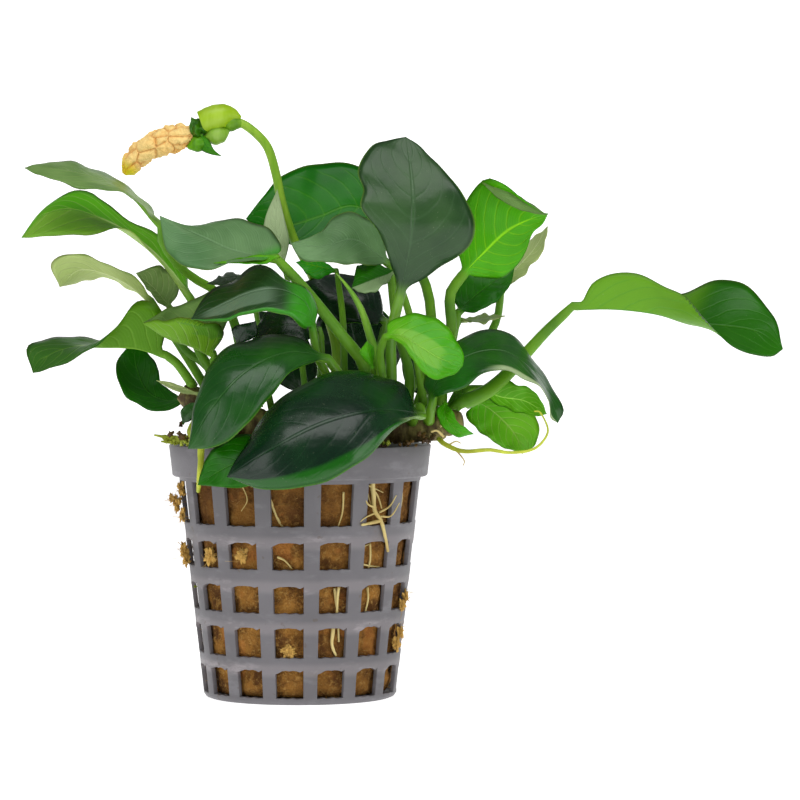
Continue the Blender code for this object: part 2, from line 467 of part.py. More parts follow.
def blade_ring(mid, left, right, along, upper, keel):
    """Eight points round one section of a blade, starting on top of the midrib, going left."""
    face = unit(np.cross(right - left, along))
    left_face = unit(np.cross(mid - left, along))
    right_face = unit(np.cross(right - mid, along))
    thick = min(BLADE_HALF_THICKNESS, 0.2 * np.linalg.norm(right - left))
    left_half, right_half = 0.5 * (mid + left), 0.5 * (mid + right)
    return [mid + face * upper, left_half + left_face * thick, left, left_half - left_face * thick,
            mid - face * keel, right_half - right_face * thick, right, right_half + right_face * thick]


def round_ring(centre, up, side, radius, count=RING_POINTS):
    """Points round a circle, starting at up and turning away from side."""
    angles = [2 * math.pi * step / count for step in range(count)]
    return [centre + radius * (up * math.cos(a) - side * math.sin(a)) for a in angles]


def leaf_rings(spec):
    """All the rings of a leaf from the foot of its stalk to the last one before its tip."""
    mid, left, right = leaf_rails(spec, BLADE_RINGS)
    along = tangents(mid)
    rings = []
    blade_face = unit(np.cross(right[1] - left[1], along[0]))
    if "root" in spec:
        start, direction = root_start(spec["root"])
        line = smooth_line([start] + spec["stalk"] + [spec["mid"][0]], STALK_RINGS + 1)
        heading = tangents(line)
        heading[0] = direction
        heading[-1] = unit(heading[-1] + along[0])
        ups = [unit(blade_face - heading[-1] * np.dot(blade_face, heading[-1]))]
        for late, early in zip(heading[:0:-1], heading[-2::-1]):
            ups.append(rotate_to(ups[-1], late, early))
        ups.reverse()
        radii = np.linspace(spec["radii"][0], spec["radii"][1], STALK_RINGS + 1)
        for place, ahead, up, radius in zip(line, heading, ups, radii):
            rings.append(round_ring(place, up, np.cross(ahead, up), radius))
    stalk_radius = spec["radii"][1] if "root" in spec else 0.5
    for step in range(1, BLADE_RINGS):
        fade = (1.0 - step / BLADE_RINGS) ** 2
        upper = BLADE_HALF_THICKNESS + 0.25 * stalk_radius * fade
        keel = KEEL_DEPTH + 0.6 * stalk_radius * fade
        rings.append(blade_ring(mid[step], left[step], right[step], along[step], upper, keel))
    return rings, mid[0], mid[-1]


def mesh_from_rings(rings, first_point=None, last_point=None):
    """A closed body lofted through rings, its ends closed by flat faces or drawn to a point."""
    body = bmesh.new()
    rows = [[body.verts.new(tuple(point)) for point in ring] for ring in rings]
    for low, high in zip(rows, rows[1:]):
        for index in range(len(low)):
            after = (index + 1) % len(low)
            body.faces.new((low[index], low[after], high[after], high[index]))
    for row, point in ((rows[0], first_point), (rows[-1], last_point)):
        if point is None:
            body.faces.new(row)
            continue
        end = body.verts.new(tuple(point))
        for index in range(len(row)):
            body.faces.new((row[index], row[(index + 1) % len(row)], end))
    bmesh.ops.recalc_face_normals(body, faces=body.faces)
    bmesh.ops.triangulate(body, faces=[face for face in body.faces if len(face.verts) == 4])
    return body


def tube_rings(line, radii, count, first_heading=None):
    """Rings of a round tube that follows a line of points."""
    heading = tangents(line)
    if first_heading is not None:
        heading[0] = first_heading
    start = np.array([0.0, 1.0, 0.0]) if abs(heading[0][1]) < 0.8 else np.array([0.0, 0.0, 1.0])
    up = unit(start - heading[0] * np.dot(start, heading[0]))
    rings = []
    for index, (place, ahead) in enumerate(zip(line, heading)):
        if index:
            up = unit(rotate_to(up, heading[index - 1], ahead))
        rings.append(round_ring(place, up, np.cross(ahead, up), radii[index], count))
    return rings


def add_object(name, body, material):
    """Put a finished body into the plant's collection as a named object in metres."""
    bmesh.ops.scale(body, vec=(MM, MM, MM), verts=body.verts)
    mesh = bpy.data.meshes.new(name)
    body.to_mesh(mesh)
    body.free()
    mesh.materials.append(bpy.data.materials[material])
    item = bpy.data.objects.new(name, mesh)
    bpy.data.collections[COLLECTION].objects.link(item)
    return item


def make_materials():
    for name, (colour, roughness, metallic) in MATERIALS.items():
        material = bpy.data.materials.new(name)
        material.use_nodes = True
        shader = material.node_tree.nodes["Principled BSDF"]
        shader.inputs["Base Color"].default_value = (*colour, 1.0)
        shader.inputs["Roughness"].default_value = roughness
        shader.inputs["Metallic"].default_value = metallic


def wall_radius(height):
    """Outer radius of the pot's wall at a height above the foot."""
    share = (height - FOOT_BEVEL) / (LEDGE_HEIGHT - FOOT_BEVEL)
    return WALL_LOW_RADIUS + (WALL_TOP_RADIUS - WALL_LOW_RADIUS) * share


def make_pot():
    """The slotted pot: a wall with five rows of windows, a ledge, a rim and a closed foot."""
    heights = sorted({edge for row in WINDOW_ROWS for edge in row} | {FOOT_BEVEL, LEDGE_HEIGHT})
    profile = [(FOOT_RADIUS, 0.0)] + [(wall_radius(height), height) for height in heights]
    profile += [(RIM_LOW_RADIUS, LEDGE_HEIGHT), (RIM_TOP_RADIUS, POT_HEIGHT)]
    body = bmesh.new()
    period = 2 * math.pi / BARS
    columns = []
    for bar in range(BARS):
        middle = math.radians(BAR_TURN - 90.0) + bar * period
        half = 0.5 * BAR_WIDTH / WALL_TOP_RADIUS
        columns += [middle - half, middle + half, middle + 0.5 * period]
    foot = body.verts.new((0.0, 0.0, 0.0))
    rows = [[body.verts.new((radius * math.cos(a), radius * math.sin(a), height)) for a in columns]
            for radius, height in profile]
    for index in range(len(columns)):
        after = (index + 1) % len(columns)
        body.faces.new((foot, rows[0][after], rows[0][index]))
        for low, high, (_, low_height), (_, high_height) in zip(rows, rows[1:], profile, profile[1:]):
            if (high_height, low_height) in WINDOW_ROWS and index % 3:
                continue
            body.faces.new((low[index], low[after], high[after], high[index]))
    pot = add_object("net_pot", body, "pot_plastic")
    skin = pot.modifiers.new("skin", "SOLIDIFY")
    skin.thickness = POT_SKIN * MM
    skin.offset = -1.0
    skin.use_even_offset = True


def make_wool():
    """The plug of rock wool, a little domed and standing clear of the wall."""
    heights = [WOOL_FOOT, 12.0, 24.0, 36.0, 45.5]
    rings = []
    for height in heights:
        radius = wall_radius(height) - POT_SKIN - WOOL_GAP
        rings.append(round_ring(np.array([0.0, 0.0, height]), np.array([1.0, 0.0, 0.0]),
                                np.array([0.0, 1.0, 0.0]), radius, WOOL_SEGMENTS))
    rings.append(round_ring(np.array([0.0, 0.0, WOOL_TOP - 1.2]), np.array([1.0, 0.0, 0.0]),
                            np.array([0.0, 1.0, 0.0]), 18.0, WOOL_SEGMENTS))
    add_object("rock_wool", mesh_from_rings(rings, last_point=(0.0, 0.0, WOOL_TOP)), "rock_wool")


def make_rhizome():
    """The knobbly creeping stem, a little narrower between its scars and at both ends."""
    first, last = RHIZOME_LINE[0][0], RHIZOME_LINE[-1][0]
    count = 2 * round((last - first) / SCAR_SPACING) + 1
    line = smooth_line(RHIZOME_LINE, count)
    radii = [RHIZOME_RADIUS if step % 2 else RHIZOME_RADIUS - 0.35 for step in range(count)]
    radii[0] = radii[-1] = RHIZOME_RADIUS - 1.1
    add_object("rhizome", mesh_from_rings(tube_rings(line, radii, 10)), "rhizome_skin")


def make_leaf(name, spec, material):
    rings, base, tip = leaf_rings(spec)
    first = None if "root" in spec else base
    add_object(name, mesh_from_rings(rings, first, tip), material)


def make_stem(name, root, points, radii, material, count=8, rings=12):
    """A round stem that grows from the rhizome and follows a line of points."""
    start, direction = root_start(root)
    line = smooth_line([start] + points, rings + 1)
    sizes = np.interp(np.linspace(0, 1, rings + 1), np.linspace(0, 1, len(radii)), radii)
    add_object(name, mesh_from_rings(tube_rings(line, sizes, count, direction)), material)


def make_spadix():
    """The spike, and the bract that closes round its foot."""
    line = smooth_line(SPADIX_LINE, len(SPADIX_RADII))
    add_object("spadix", mesh_from_rings(tube_rings(line, SPADIX_RADII, SPADIX_POINTS)), "flower_spike")
    line = smooth_line(SPATHE_LINE, len(SPATHE_RADII))
    add_object("spathe", mesh_from_rings(tube_rings(line, SPATHE_RADII, SPADIX_POINTS)), "bract_green")


def make_roots():
    for name, (points, (first, last)) in ROOTS.items():
        rings = 3 * (len(points) - 1)
        line = smooth_line(points, rings + 1)
        body = mesh_from_rings(tube_rings(line, np.linspace(first, last, rings + 1), 6))
        add_object(name, body, "root_pale")


def leaf_material(name):
    for material, names in LEAF_MATERIALS.items():
        if name in names:
            return material
    return "leaf_dark"


def main():
    for item in list(bpy.data.objects):
        bpy.data.objects.remove(item, do_unlink=True)
    bpy.context.scene.collection.children.link(bpy.data.collections.new(COLLECTION))
    make_materials()
    make_pot()
    make_wool()
    make_rhizome()
    for name, spec in LEAVES.items():
        make_leaf(name, spec, leaf_material(name))
    make_stem("leaf_spear", SPEAR_ROOT, SPEAR_LINE, SPEAR_RADII, "stalk_green", 6, 10)
    make_stem("peduncle", PEDUNCLE_ROOT, PEDUNCLE_LINE, PEDUNCLE_RADII, "stalk_green", 8, 16)
    make_spadix()
    make_leaf("sheath", SHEATH, "leaf_pale")
    make_roots()


if __name__ == "__main__":
    main()
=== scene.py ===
"""An anubias in a slotted net pot: pot, rock wool, rhizome, leaves, flower and roots, and their stage."""

import math
import random

import bmesh
import bpy
import numpy as np
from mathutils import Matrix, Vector, noise


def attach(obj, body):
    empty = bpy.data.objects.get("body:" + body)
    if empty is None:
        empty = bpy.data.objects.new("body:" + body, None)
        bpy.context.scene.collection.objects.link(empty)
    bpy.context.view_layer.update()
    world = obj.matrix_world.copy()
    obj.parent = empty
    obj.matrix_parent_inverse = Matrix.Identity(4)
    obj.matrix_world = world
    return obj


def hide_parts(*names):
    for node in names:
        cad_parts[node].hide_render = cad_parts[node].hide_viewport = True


bl_info = {
    "name": "Anubias in a net pot",
    "version": (1, 0, 0),
    "blender": (4, 5, 0),
    "location": "View3D > Sidebar > Anubias",
    "description": "Builds the detailed pieces of a potted anubias round its fixed frame",
    "category": "Object",
}

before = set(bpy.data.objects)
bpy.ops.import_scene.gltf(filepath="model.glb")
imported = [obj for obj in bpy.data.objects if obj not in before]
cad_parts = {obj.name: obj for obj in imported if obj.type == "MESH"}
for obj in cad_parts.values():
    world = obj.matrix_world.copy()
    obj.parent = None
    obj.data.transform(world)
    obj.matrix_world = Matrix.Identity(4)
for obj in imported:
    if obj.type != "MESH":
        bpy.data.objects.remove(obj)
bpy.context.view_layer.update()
MM = 0.001
TURN = 2 * math.pi
RIBS_A_VEIN = 5


def tint(red, green, blue):
    """A colour as it looks on a screen, 0 to 255 a channel, turned into scene colour."""
    return tuple((channel / 255.0) ** 2.2 for channel in (red, green, blue))


# Floor and backdrop, in metres
FLOOR_FRONT = -2.4
FLOOR_BACK = 2.4
FLOOR_HALF_WIDTH = 2.4
BACKDROP_CURVE = 0.25
BACKDROP_HEIGHT = 1.0

# Lights and camera, in metres and degrees: each softbox by name, place and size
LIGHT_TARGET = (0.0, 0.0, 0.07)
KEY_SOFTBOX = ("overhead_softbox", (0.05, -0.35, 0.75), (0.8, 0.5))
FILL_SOFTBOXES = [("left_softbox", (-0.65, -0.60, 0.30), (0.5, 0.5)),
                  ("right_softbox", (0.75, -0.50, 0.25), (0.4, 0.5))]
SENSOR_WIDTH_MM = 36.0
VIEW_WIDTH = 0.168
CAMERA_SIDE = 0.021
CAMERA_TILT = 1.376

# Net pot, in millimetres
POT_HEIGHT = 53.0
RIM_TOP_RADIUS = 27.5
RIM_LOW_RADIUS = 26.8
LEDGE_HEIGHT = 46.4
WALL_TOP_RADIUS = 25.4
WALL_LOW_RADIUS = 20.2
FOOT_RADIUS = 19.3
FOOT_BEVEL = 0.9
BARS = 15
BAR_TURN = 7.4
WINDOW_ROWS = [(45.6, 36.9), (33.6, 28.0), (24.6, 19.0), (16.0, 9.8), (7.3, 1.4)]
WINDOW_COLUMNS = 8
EDGE_SOFTNESS = 0.14
NO_SOFTENING_UNDER = 40.0
SAME_HEIGHT = 1e-6
SAME_PLACE = 1e-7

# Rock wool, in millimetres: how far it stays inside the wall, where its foot and shoulder draw in,
# and how many rings and columns its surface has
WOOL_GAP = 1.5
WOOL_FOOT = 3.0
WOOL_SHOULDER = 46.0
WOOL_RINGS = 110
WOOL_COLUMNS = 220
FIBRES_A_WINDOW = 16
FIBRE_RADII = [0.045, 0.045, 0.04, 0.03, 0.012]

# Rhizome
RHIZOME_LINE = [(-25.0, 0.0, 64.0), (-18.0, 0.0, 60.0), (-9.0, 0.5, 57.2), (4.0, 0.5, 56.2),
                (18.0, -1.0, 56.4), (28.0, -2.6, 57.2), (34.0, -3.8, 58.2)]
RHIZOME_RADIUS = 3.4
RHIZOME_RINGS = 130
LEAF_SCARS = 16
ROOT_GAP = 0.3

# Leaves, in millimetres: where each leaves the rhizome, as a place along it and a turn round it in
# degrees, the stalk's radii and line, then the blade's midrib and its left and right margins
LEAVES = {
    "leaf_crown": {
        "root": (19.0, -20), "radii": (1.2, 1.1),
        "stalk": [(19.2, -6.0, 67.0), (19.2, -11.0, 76.0)],
        "mid": [(21.0, -14.0, 84.3), (22.8, -17.0, 92.9), (23.7, -18.0, 100.7), (23.4, -15.0, 108.8),
                (22.2, -10.0, 117.0)],
        "left": [(20.0, -14.5, 87.6), (16.7, -19.0, 96.9), (12.9, -20.0, 102.2), (13.5, -18.4, 106.0),
                 (12.3, -17.0, 109.8), (15.0, -13.0, 114.8), (18.4, -11.0, 116.4)],
        "right": [(28.6, -15.0, 89.4), (35.4, -17.0, 94.5), (36.2, -18.0, 100.2), (32.3, -16.0, 107.1),
                  (26.0, -11.0, 114.3)],
    },
    "leaf_crown_left": {
        "root": (22.5, 5), "radii": (1.1, 0.9),
        "stalk": [(23.0, -1.5, 67.5), (20.5, -1.0, 77.0)],
        "mid": [(18.9, -3.0, 90.6), (11.6, -5.0, 95.8), (4.8, -8.0, 94.3), (-1.6, -10.0, 95.0)],
        "left": [(13.7, -8.0, 90.5), (7.5, -10.0, 90.9), (0.5, -11.0, 91.7)],
        "right": [(16.8, -1.0, 97.9), (12.2, -1.0, 101.5), (7.4, -3.0, 100.8), (4.2, -7.0, 97.2)],
    },
    "leaf_back_left": {
        "root": (24.0, 60), "radii": (1.2, 1.0),
        "stalk": [(27.0, 6.5, 68.0), (27.6, 9.0, 80.0), (26.3, 10.5, 87.0), (22.0, 13.0, 95.0)],
        "mid": [(18.5, 14.0, 100.5), (10.7, 14.0, 103.4), (3.7, 12.0, 101.0), (-3.4, 9.0, 99.0),
                (-11.7, 8.0, 100.5)],
        "left": [(15.7, 12.0, 97.0), (9.3, 10.0, 94.5), (0.0, 8.0, 94.5), (-8.3, 8.0, 97.1)],
        "right": [(17.8, 16.0, 106.9), (12.0, 18.0, 112.0), (4.3, 17.0, 112.7), (-4.2, 13.0, 109.8),
                  (-8.0, 10.0, 105.4)],
    },
    "leaf_folded_left": {
        "root": (12.5, -62), "radii": (1.35, 1.05),
        "stalk": [(13.7, -8.5, 69.0), (9.2, -12.0, 75.6), (0.8, -13.0, 86.1)],
        "mid": [(-4.4, -14.0, 91.7), (-13.6, -15.0, 93.5), (-18.3, -16.0, 95.6), (-24.3, -16.0, 98.4),
                (-28.4, -16.0, 100.5)],
        "left": [(-7.1, -18.0, 91.6), (-11.7, -21.0, 91.0), (-17.7, -23.0, 89.5), (-23.9, -22.0, 90.3),
                 (-27.2, -19.0, 94.5)],
        "right": [(-3.7, -8.0, 94.5), (-7.2, -5.0, 98.7), (-12.3, -6.0, 100.1), (-20.6, -11.0, 98.9),
                  (-22.6, -14.2, 98.1)],
    },
    "leaf_upper_left": {
        "root": (-9.0, 10), "radii": (1.1, 0.8),
        "stalk": [(-12.0, 2.5, 70.0), (-14.5, 5.0, 80.0), (-18.6, 4.5, 85.6), (-22.5, 2.0, 87.9),
                  (-26.0, -2.0, 91.2), (-28.6, -5.5, 95.4)],
        "mid": [(-28.9, -7.0, 98.8), (-35.0, -10.0, 105.4), (-42.1, -12.0, 108.5), (-49.1, -14.0, 110.0),
                (-56.3, -14.0, 110.4)],
        "left": [(-31.5, -12.0, 101.5), (-35.4, -16.0, 105.2), (-41.0, -20.0, 105.5), (-47.3, -20.0, 106.9),
                 (-52.9, -17.0, 108.7)],
        "right": [(-30.5, -4.0, 101.5), (-32.5, -3.0, 104.5), (-42.0, -3.0, 110.5), (-48.0, -6.0, 112.0),
                  (-53.5, -11.0, 111.6)],
    },
    "leaf_bright_left": {
        "root": (-14.6, 0), "radii": (1.1, 0.9),
        "stalk": [(-18.0, -1.0, 67.5), (-21.8, 1.2, 74.0)],
        "mid": [(-23.1, 3.5, 83.5), (-29.0, 3.0, 91.5), (-35.8, 2.0, 97.2), (-42.3, 1.0, 100.5),
                (-48.2, -1.0, 102.3), (-53.2, -4.0, 101.0), (-57.8, -6.0, 96.2)],
        "left": [(-28.4, 1.0, 90.0), (-35.5, -3.0, 97.9), (-41.3, -8.0, 97.2), (-47.4, -10.0, 96.5),
                 (-53.2, -9.0, 96.3)],
        "right": [(-23.4, 6.0, 87.5), (-29.4, 6.0, 96.8), (-35.8, 5.5, 99.6), (-41.5, 7.0, 104.2),
                  (-44.8, 8.0, 106.6), (-50.5, 3.0, 105.0), (-54.8, -2.0, 101.3)],
    },
    "leaf_pale_left": {
        "root": (-18.5, 60), "radii": (1.0, 0.8),
        "stalk": [(-21.5, 6.5, 67.0), (-25.5, 10.0, 73.0), (-29.5, 11.5, 79.0)],
        "mid": [(-32.0, 11.0, 83.1), (-36.3, 9.5, 86.7), (-41.8, 8.0, 89.2), (-47.1, 6.0, 89.6),
                (-50.8, 4.0, 86.0)],
        "left": [(-33.7, 9.0, 86.7), (-38.0, 7.0, 89.8), (-42.6, 5.0, 91.5), (-47.5, 4.0, 93.3),
                 (-52.6, 4.0, 91.0)],
        "right": [(-35.3, 12.0, 84.8), (-42.0, 11.0, 88.0), (-47.0, 9.0, 86.9)],
    },
    "leaf_small_left": {
        "root": (-17.8, 22), "radii": (0.9, 0.7),
        "stalk": [(-19.6, 4.0, 69.0), (-24.6, 5.0, 73.0), (-27.0, 6.8, 78.0)],
        "mid": [(-27.7, 7.0, 81.6), (-30.8, 6.0, 85.4), (-34.8, 5.0, 89.0)],
        "left": [(-29.7, 5.0, 82.4), (-32.0, 4.0, 85.2)],
        "right": [(-25.7, 8.0, 86.3), (-29.7, 8.0, 90.5)],
    },
    "leaf_twisted_left": {
        "root": (-22.5, -35), "radii": (1.0, 0.9),
        "stalk": [(-25.6, -1.5, 69.8)],
        "mid": [(-28.1, 0.0, 71.7), (-34.0, 0.0, 73.4), (-41.2, 0.0, 73.6), (-47.4, -1.0, 73.4),
                (-52.6, -3.0, 71.5), (-55.7, -4.0, 68.0)],
        "left": [(-28.0, -2.0, 78.0), (-29.8, -3.0, 82.4), (-33.8, -3.0, 82.8), (-38.6, -3.0, 77.6),
                 (-41.6, -5.0, 73.9), (-46.7, -8.0, 71.2), (-52.7, -7.0, 68.5)],
        "right": [(-31.8, 5.0, 73.8), (-38.4, 8.0, 74.8), (-42.9, 8.0, 75.0), (-48.1, 7.0, 75.4),
                  (-53.9, 4.0, 75.3), (-57.3, 0.0, 72.8)],
    },
    "leaf_curved_left": {
        "root": (-22.0, 75), "radii": (0.9, 0.8),
        "stalk": [],
        "mid": [(-23.5, 6.0, 62.5), (-28.0, 7.0, 61.9), (-32.6, 9.0, 63.8), (-35.2, 12.0, 68.8),
                (-36.0, 14.0, 74.8)],
        "left": [(-25.5, 4.0, 60.8), (-31.5, 4.0, 59.9), (-37.0, 6.0, 63.0), (-39.5, 10.0, 69.3)],
        "right": [(-25.6, 8.5, 62.7), (-29.6, 11.0, 65.5), (-31.5, 14.0, 70.5)],
    },
    "leaf_boat_left": {
        "root": (-15.5, -50), "radii": (1.0, 0.9),
        "stalk": [(-17.3, -6.5, 66.5)],
        "mid": [(-17.8, -6.5, 72.0), (-21.6, -9.0, 73.7), (-27.1, -10.0, 75.4), (-32.3, -10.0, 78.5)],
        "left": [(-15.5, -10.0, 77.0), (-21.3, -14.0, 79.3), (-27.5, -13.0, 79.3)],
        "right": [(-13.9, 0.0, 83.3), (-15.8, 2.0, 86.2), (-21.3, 1.0, 83.9), (-27.5, -4.0, 81.4)],
    },
    "leaf_middle_left": {
        "root": (6.5, -55), "radii": (0.95, 0.85),
        "stalk": [(5.8, -9.5, 67.5), (3.9, -12.3, 71.5)],
        "mid": [(3.1, -16.0, 76.9), (1.8, -20.0, 82.6), (-3.6, -19.0, 85.3), (-9.7, -19.0, 84.6),
                (-16.4, -20.0, 81.6), (-21.7, -21.0, 79.3)],
        "left": [(1.2, -21.0, 77.5), (-1.4, -24.0, 79.5), (-5.4, -26.0, 81.0), (-11.5, -26.0, 79.7),
                 (-17.3, -24.0, 78.7)],
        "right": [(4.3, -16.0, 80.1), (2.5, -16.0, 84.7), (-1.9, -14.5, 87.4), (-8.4, -12.0, 90.5),
                  (-12.9, -13.0, 87.8), (-19.1, -17.0, 84.0)],
    },
    "leaf_withered": {
        "root": (-6.0, 20), "radii": (0.7, 0.5),
        "stalk": [(-8.0, 1.0, 70.0), (-9.0, -1.5, 80.0)],
        "mid": [(-11.7, -2.5, 88.3), (-15.4, -4.5, 87.6), (-19.2, -6.5, 86.6)],
        "left": [(-15.2, -8.0, 86.2)],
        "right": [(-14.9, 0.0, 89.1)],
    },
    "leaf_front_left": {
        "root": (9.5, -62), "radii": (1.1, 1.0),
        "stalk": [(9.3, -11.0, 66.0)],
        "mid": [(6.2, -16.0, 71.1), (-1.4, -23.0, 72.6), (-10.3, -30.0, 68.6), (-16.9, -32.0, 61.4),
                (-21.8, -30.0, 53.1)],
        "left": [(2.6, -22.0, 70.3), (-0.9, -27.0, 68.6), (-4.8, -31.0, 64.2), (-10.1, -34.0, 57.7),
                 (-16.2, -33.0, 53.6)],
        "right": [(0.4, -16.0, 75.4), (-7.1, -18.0, 75.8), (-14.7, -23.0, 73.2), (-18.7, -27.0, 68.0),
                  (-20.9, -29.0, 59.9)],
    },
    "leaf_front": {
        "root": (23.5, -70), "radii": (1.1, 1.0),
        "stalk": [(25.0, -11.0, 61.0)],
        "mid": [(25.5, -14.5, 59.4), (17.0, -27.0, 60.9), (5.9, -33.0, 58.6), (-5.1, -35.0, 53.1),
                (-13.9, -31.5, 47.5)],
        "left": [(19.8, -27.0, 57.0), (13.6, -34.0, 50.8), (4.0, -37.0, 46.2), (-6.3, -35.0, 45.1)],
        "right": [(23.5, -14.0, 63.5), (19.8, -16.0, 67.0), (7.3, -20.0, 68.5), (-4.5, -27.0, 62.1),
                  (-10.7, -30.0, 53.5)],
    },
    "leaf_front_lower": {
        "root": (1.0, -62), "radii": (1.0, 0.8),
        "stalk": [(0.5, -13.0, 60.5), (-2.0, -23.0, 58.5)],
        "mid": [(-4.3, -28.0, 55.9), (-9.3, -30.0, 51.9), (-14.4, -29.0, 49.2), (-20.1, -25.5, 45.6)],
        "left": [(-6.8, -30.5, 46.9), (-11.3, -31.0, 45.3), (-16.0, -29.0, 45.4)],
        "right": [(-12.4, -27.8, 55.8), (-16.5, -27.5, 53.2), (-18.8, -26.5, 50.3)],
    },
    "leaf_shaded": {
        "root": (3.0, -15), "radii": (0.9, 0.8),
        "stalk": [(4.5, -4.0, 68.0)],
        "mid": [(4.4, -8.0, 77.0), (-2.9, -9.0, 78.1), (-10.2, -8.0, 76.0)],
        "left": [(0.5, -11.5, 74.0), (-4.5, -13.0, 72.9)],
        "right": [(0.5, -5.5, 81.5), (-5.0, -5.0, 82.0)],
    },
    "leaf_shaded_small": {
        "root": (-11.0, -50), "radii": (0.8, 0.6),
        "stalk": [(-12.3, -8.0, 67.0)],
        "mid": [(-12.7, -12.0, 74.1), (-11.0, -14.0, 76.8), (-8.7, -14.5, 78.9)],
        "left": [(-13.7, -13.0, 77.4)],
        "right": [(-8.3, -14.0, 76.0)],
    },
    "leaf_shaded_back": {
        "root": (13.5, 65), "radii": (1.0, 0.9),
        "stalk": [(16.0, 6.0, 69.0)],
        "mid": [(18.0, 4.5, 78.6), (13.0, 3.5, 82.6), (6.2, 3.5, 84.8), (-0.5, 4.0, 86.7)],
        "left": [(14.7, 0.5, 78.0), (6.3, 0.0, 79.5)],
        "right": [(15.7, 8.0, 86.1), (7.2, 8.0, 89.0)],
    },
    "leaf_inner": {
        "root": (17.0, 90), "radii": (1.0, 0.8),
        "stalk": [(15.8, 9.0, 59.8)],
        "mid": [(13.8, 13.0, 64.0), (12.4, 15.0, 71.0), (10.8, 14.5, 78.0), (9.0, 12.8, 84.5)],
        "left": [(8.0, 14.5, 67.5), (3.6, 15.0, 73.0), (3.4, 14.0, 79.5)],
        "right": [(19.5, 14.5, 68.0), (21.5, 14.5, 74.0), (17.5, 13.5, 81.0)],
    },
    "leaf_inner_left": {
        "root": (1.0, 78), "radii": (1.0, 0.8),
        "stalk": [(0.8, 8.5, 60.0)],
        "mid": [(0.2, 11.0, 63.0), (-2.5, 13.0, 69.5), (-5.5, 12.5, 75.5), (-9.0, 10.8, 81.0)],
        "left": [(-5.5, 12.5, 66.0), (-9.5, 12.5, 71.5), (-10.5, 11.5, 77.0)],
        "right": [(3.3, 12.6, 67.5), (2.0, 13.2, 73.5), (-2.0, 12.4, 79.5)],
    },
    "leaf_inner_right": {
        "root": (26.6, 96), "radii": (1.0, 0.8),
        "stalk": [(26.9, 9.8, 57.6)],
        "mid": [(27.0, 13.4, 62.0), (27.6, 16.0, 66.5), (28.4, 16.4, 71.5), (28.8, 15.0, 76.5)],
        "left": [(22.5, 15.0, 65.0), (21.8, 16.0, 71.0)],
        "right": [(32.4, 15.4, 65.0), (33.6, 16.0, 71.0)],
    },
    "leaf_young_back": {
        "root": (9.0, 0), "radii": (0.8, 0.6),
        "stalk": [(9.3, -2.5, 70.0), (9.0, -3.5, 80.0)],
        "mid": [(7.7, 0.5, 89.4), (3.1, 1.0, 90.4), (-0.9, 1.5, 91.2)],
        "left": [(3.2, -1.5, 87.7)],
        "right": [(3.1, 3.5, 92.6)],
    },
    "leaf_striped": {
        "root": (26.0, 5), "radii": (0.9, 0.7),
        "stalk": [(25.0, -4.5, 68.0), (23.0, -6.0, 80.0)],
        "mid": [(20.0, -7.0, 89.1), (15.2, -9.0, 87.6), (11.0, -10.5, 85.7)],
        "left": [(17.9, -12.0, 86.3), (14.0, -13.0, 84.5)],
        "right": [(17.0, -5.0, 90.6), (12.6, -5.0, 90.8)],
    },
    "leaf_bright_right": {
        "root": (29.5, 5), "radii": (1.2, 1.1),
        "stalk": [(30.2, 0.3, 69.0), (31.8, -0.8, 77.0), (31.5, -2.5, 84.5)],
        "mid": [(34.0, -2.0, 88.3), (38.6, 0.0, 93.3), (43.1, 1.0, 97.6), (47.7, 0.0, 100.1),
                (52.0, -2.0, 101.3)],
        "left": [(38.9, 2.0, 87.9), (42.7, 3.0, 88.1), (46.9, 3.0, 92.1), (48.6, 2.0, 96.7),
                 (51.0, 0.0, 99.2)],
        "right": [(33.2, 2.0, 94.9), (34.0, 1.0, 101.1), (36.1, -2.0, 105.9), (39.8, -5.0, 108.7),
                  (45.8, -6.0, 104.9), (50.2, -4.0, 101.8)],
    },
    "leaf_pale_right": {
        "root": (31.5, 45), "radii": (1.0, 0.8),
        "stalk": [(35.5, 8.0, 68.0), (41.5, 14.8, 78.5)],
        "mid": [(42.6, 13.0, 85.0), (46.5, 11.0, 90.1), (49.9, 10.0, 94.3), (52.3, 8.0, 98.9)],
        "left": [(46.6, 8.0, 88.1), (50.5, 7.5, 92.4), (52.0, 7.0, 96.0)],
        "right": [(44.5, 15.0, 90.1), (47.7, 15.0, 95.0)],
    },
    "leaf_shaded_right": {
        "root": (27.5, 60), "radii": (1.0, 0.9),
        "stalk": [(31.0, 4.5, 70.0)],
        "mid": [(33.2, 4.5, 80.5), (37.3, 5.0, 84.5), (41.5, 6.0, 87.5), (45.3, 7.5, 90.1)],
        "left": [(32.3, 8.0, 85.4), (34.8, 9.0, 89.7), (40.1, 9.5, 91.4)],
        "right": [(37.8, 2.5, 81.0), (42.0, 3.5, 83.5), (44.4, 5.5, 86.7)],
    },
    "leaf_thin_right": {
        "root": (20.0, 65), "radii": (0.8, 0.6),
        "stalk": [(24.5, 9.0, 66.0), (30.0, 10.5, 73.0)],
        "mid": [(34.0, 10.0, 79.0), (38.6, 9.0, 79.3), (43.3, 8.5, 79.9)],
        "left": [(38.7, 12.4, 80.3)],
        "right": [(38.5, 4.5, 78.4)],
    },
    "leaf_young_front": {
        "root": (16.5, -62), "radii": (1.0, 0.8),
        "stalk": [(17.3, -12.5, 67.7), (16.9, -16.0, 72.5)],
        "mid": [(17.9, -18.0, 75.6), (21.0, -20.0, 76.0), (24.9, -22.0, 73.8), (29.2, -23.0, 71.2),
                (33.8, -24.0, 69.8)],
        "left": [(18.1, -17.0, 78.3), (22.0, -17.0, 80.1), (27.2, -18.0, 80.1), (31.2, -20.0, 77.1),
                 (34.0, -23.0, 72.0)],
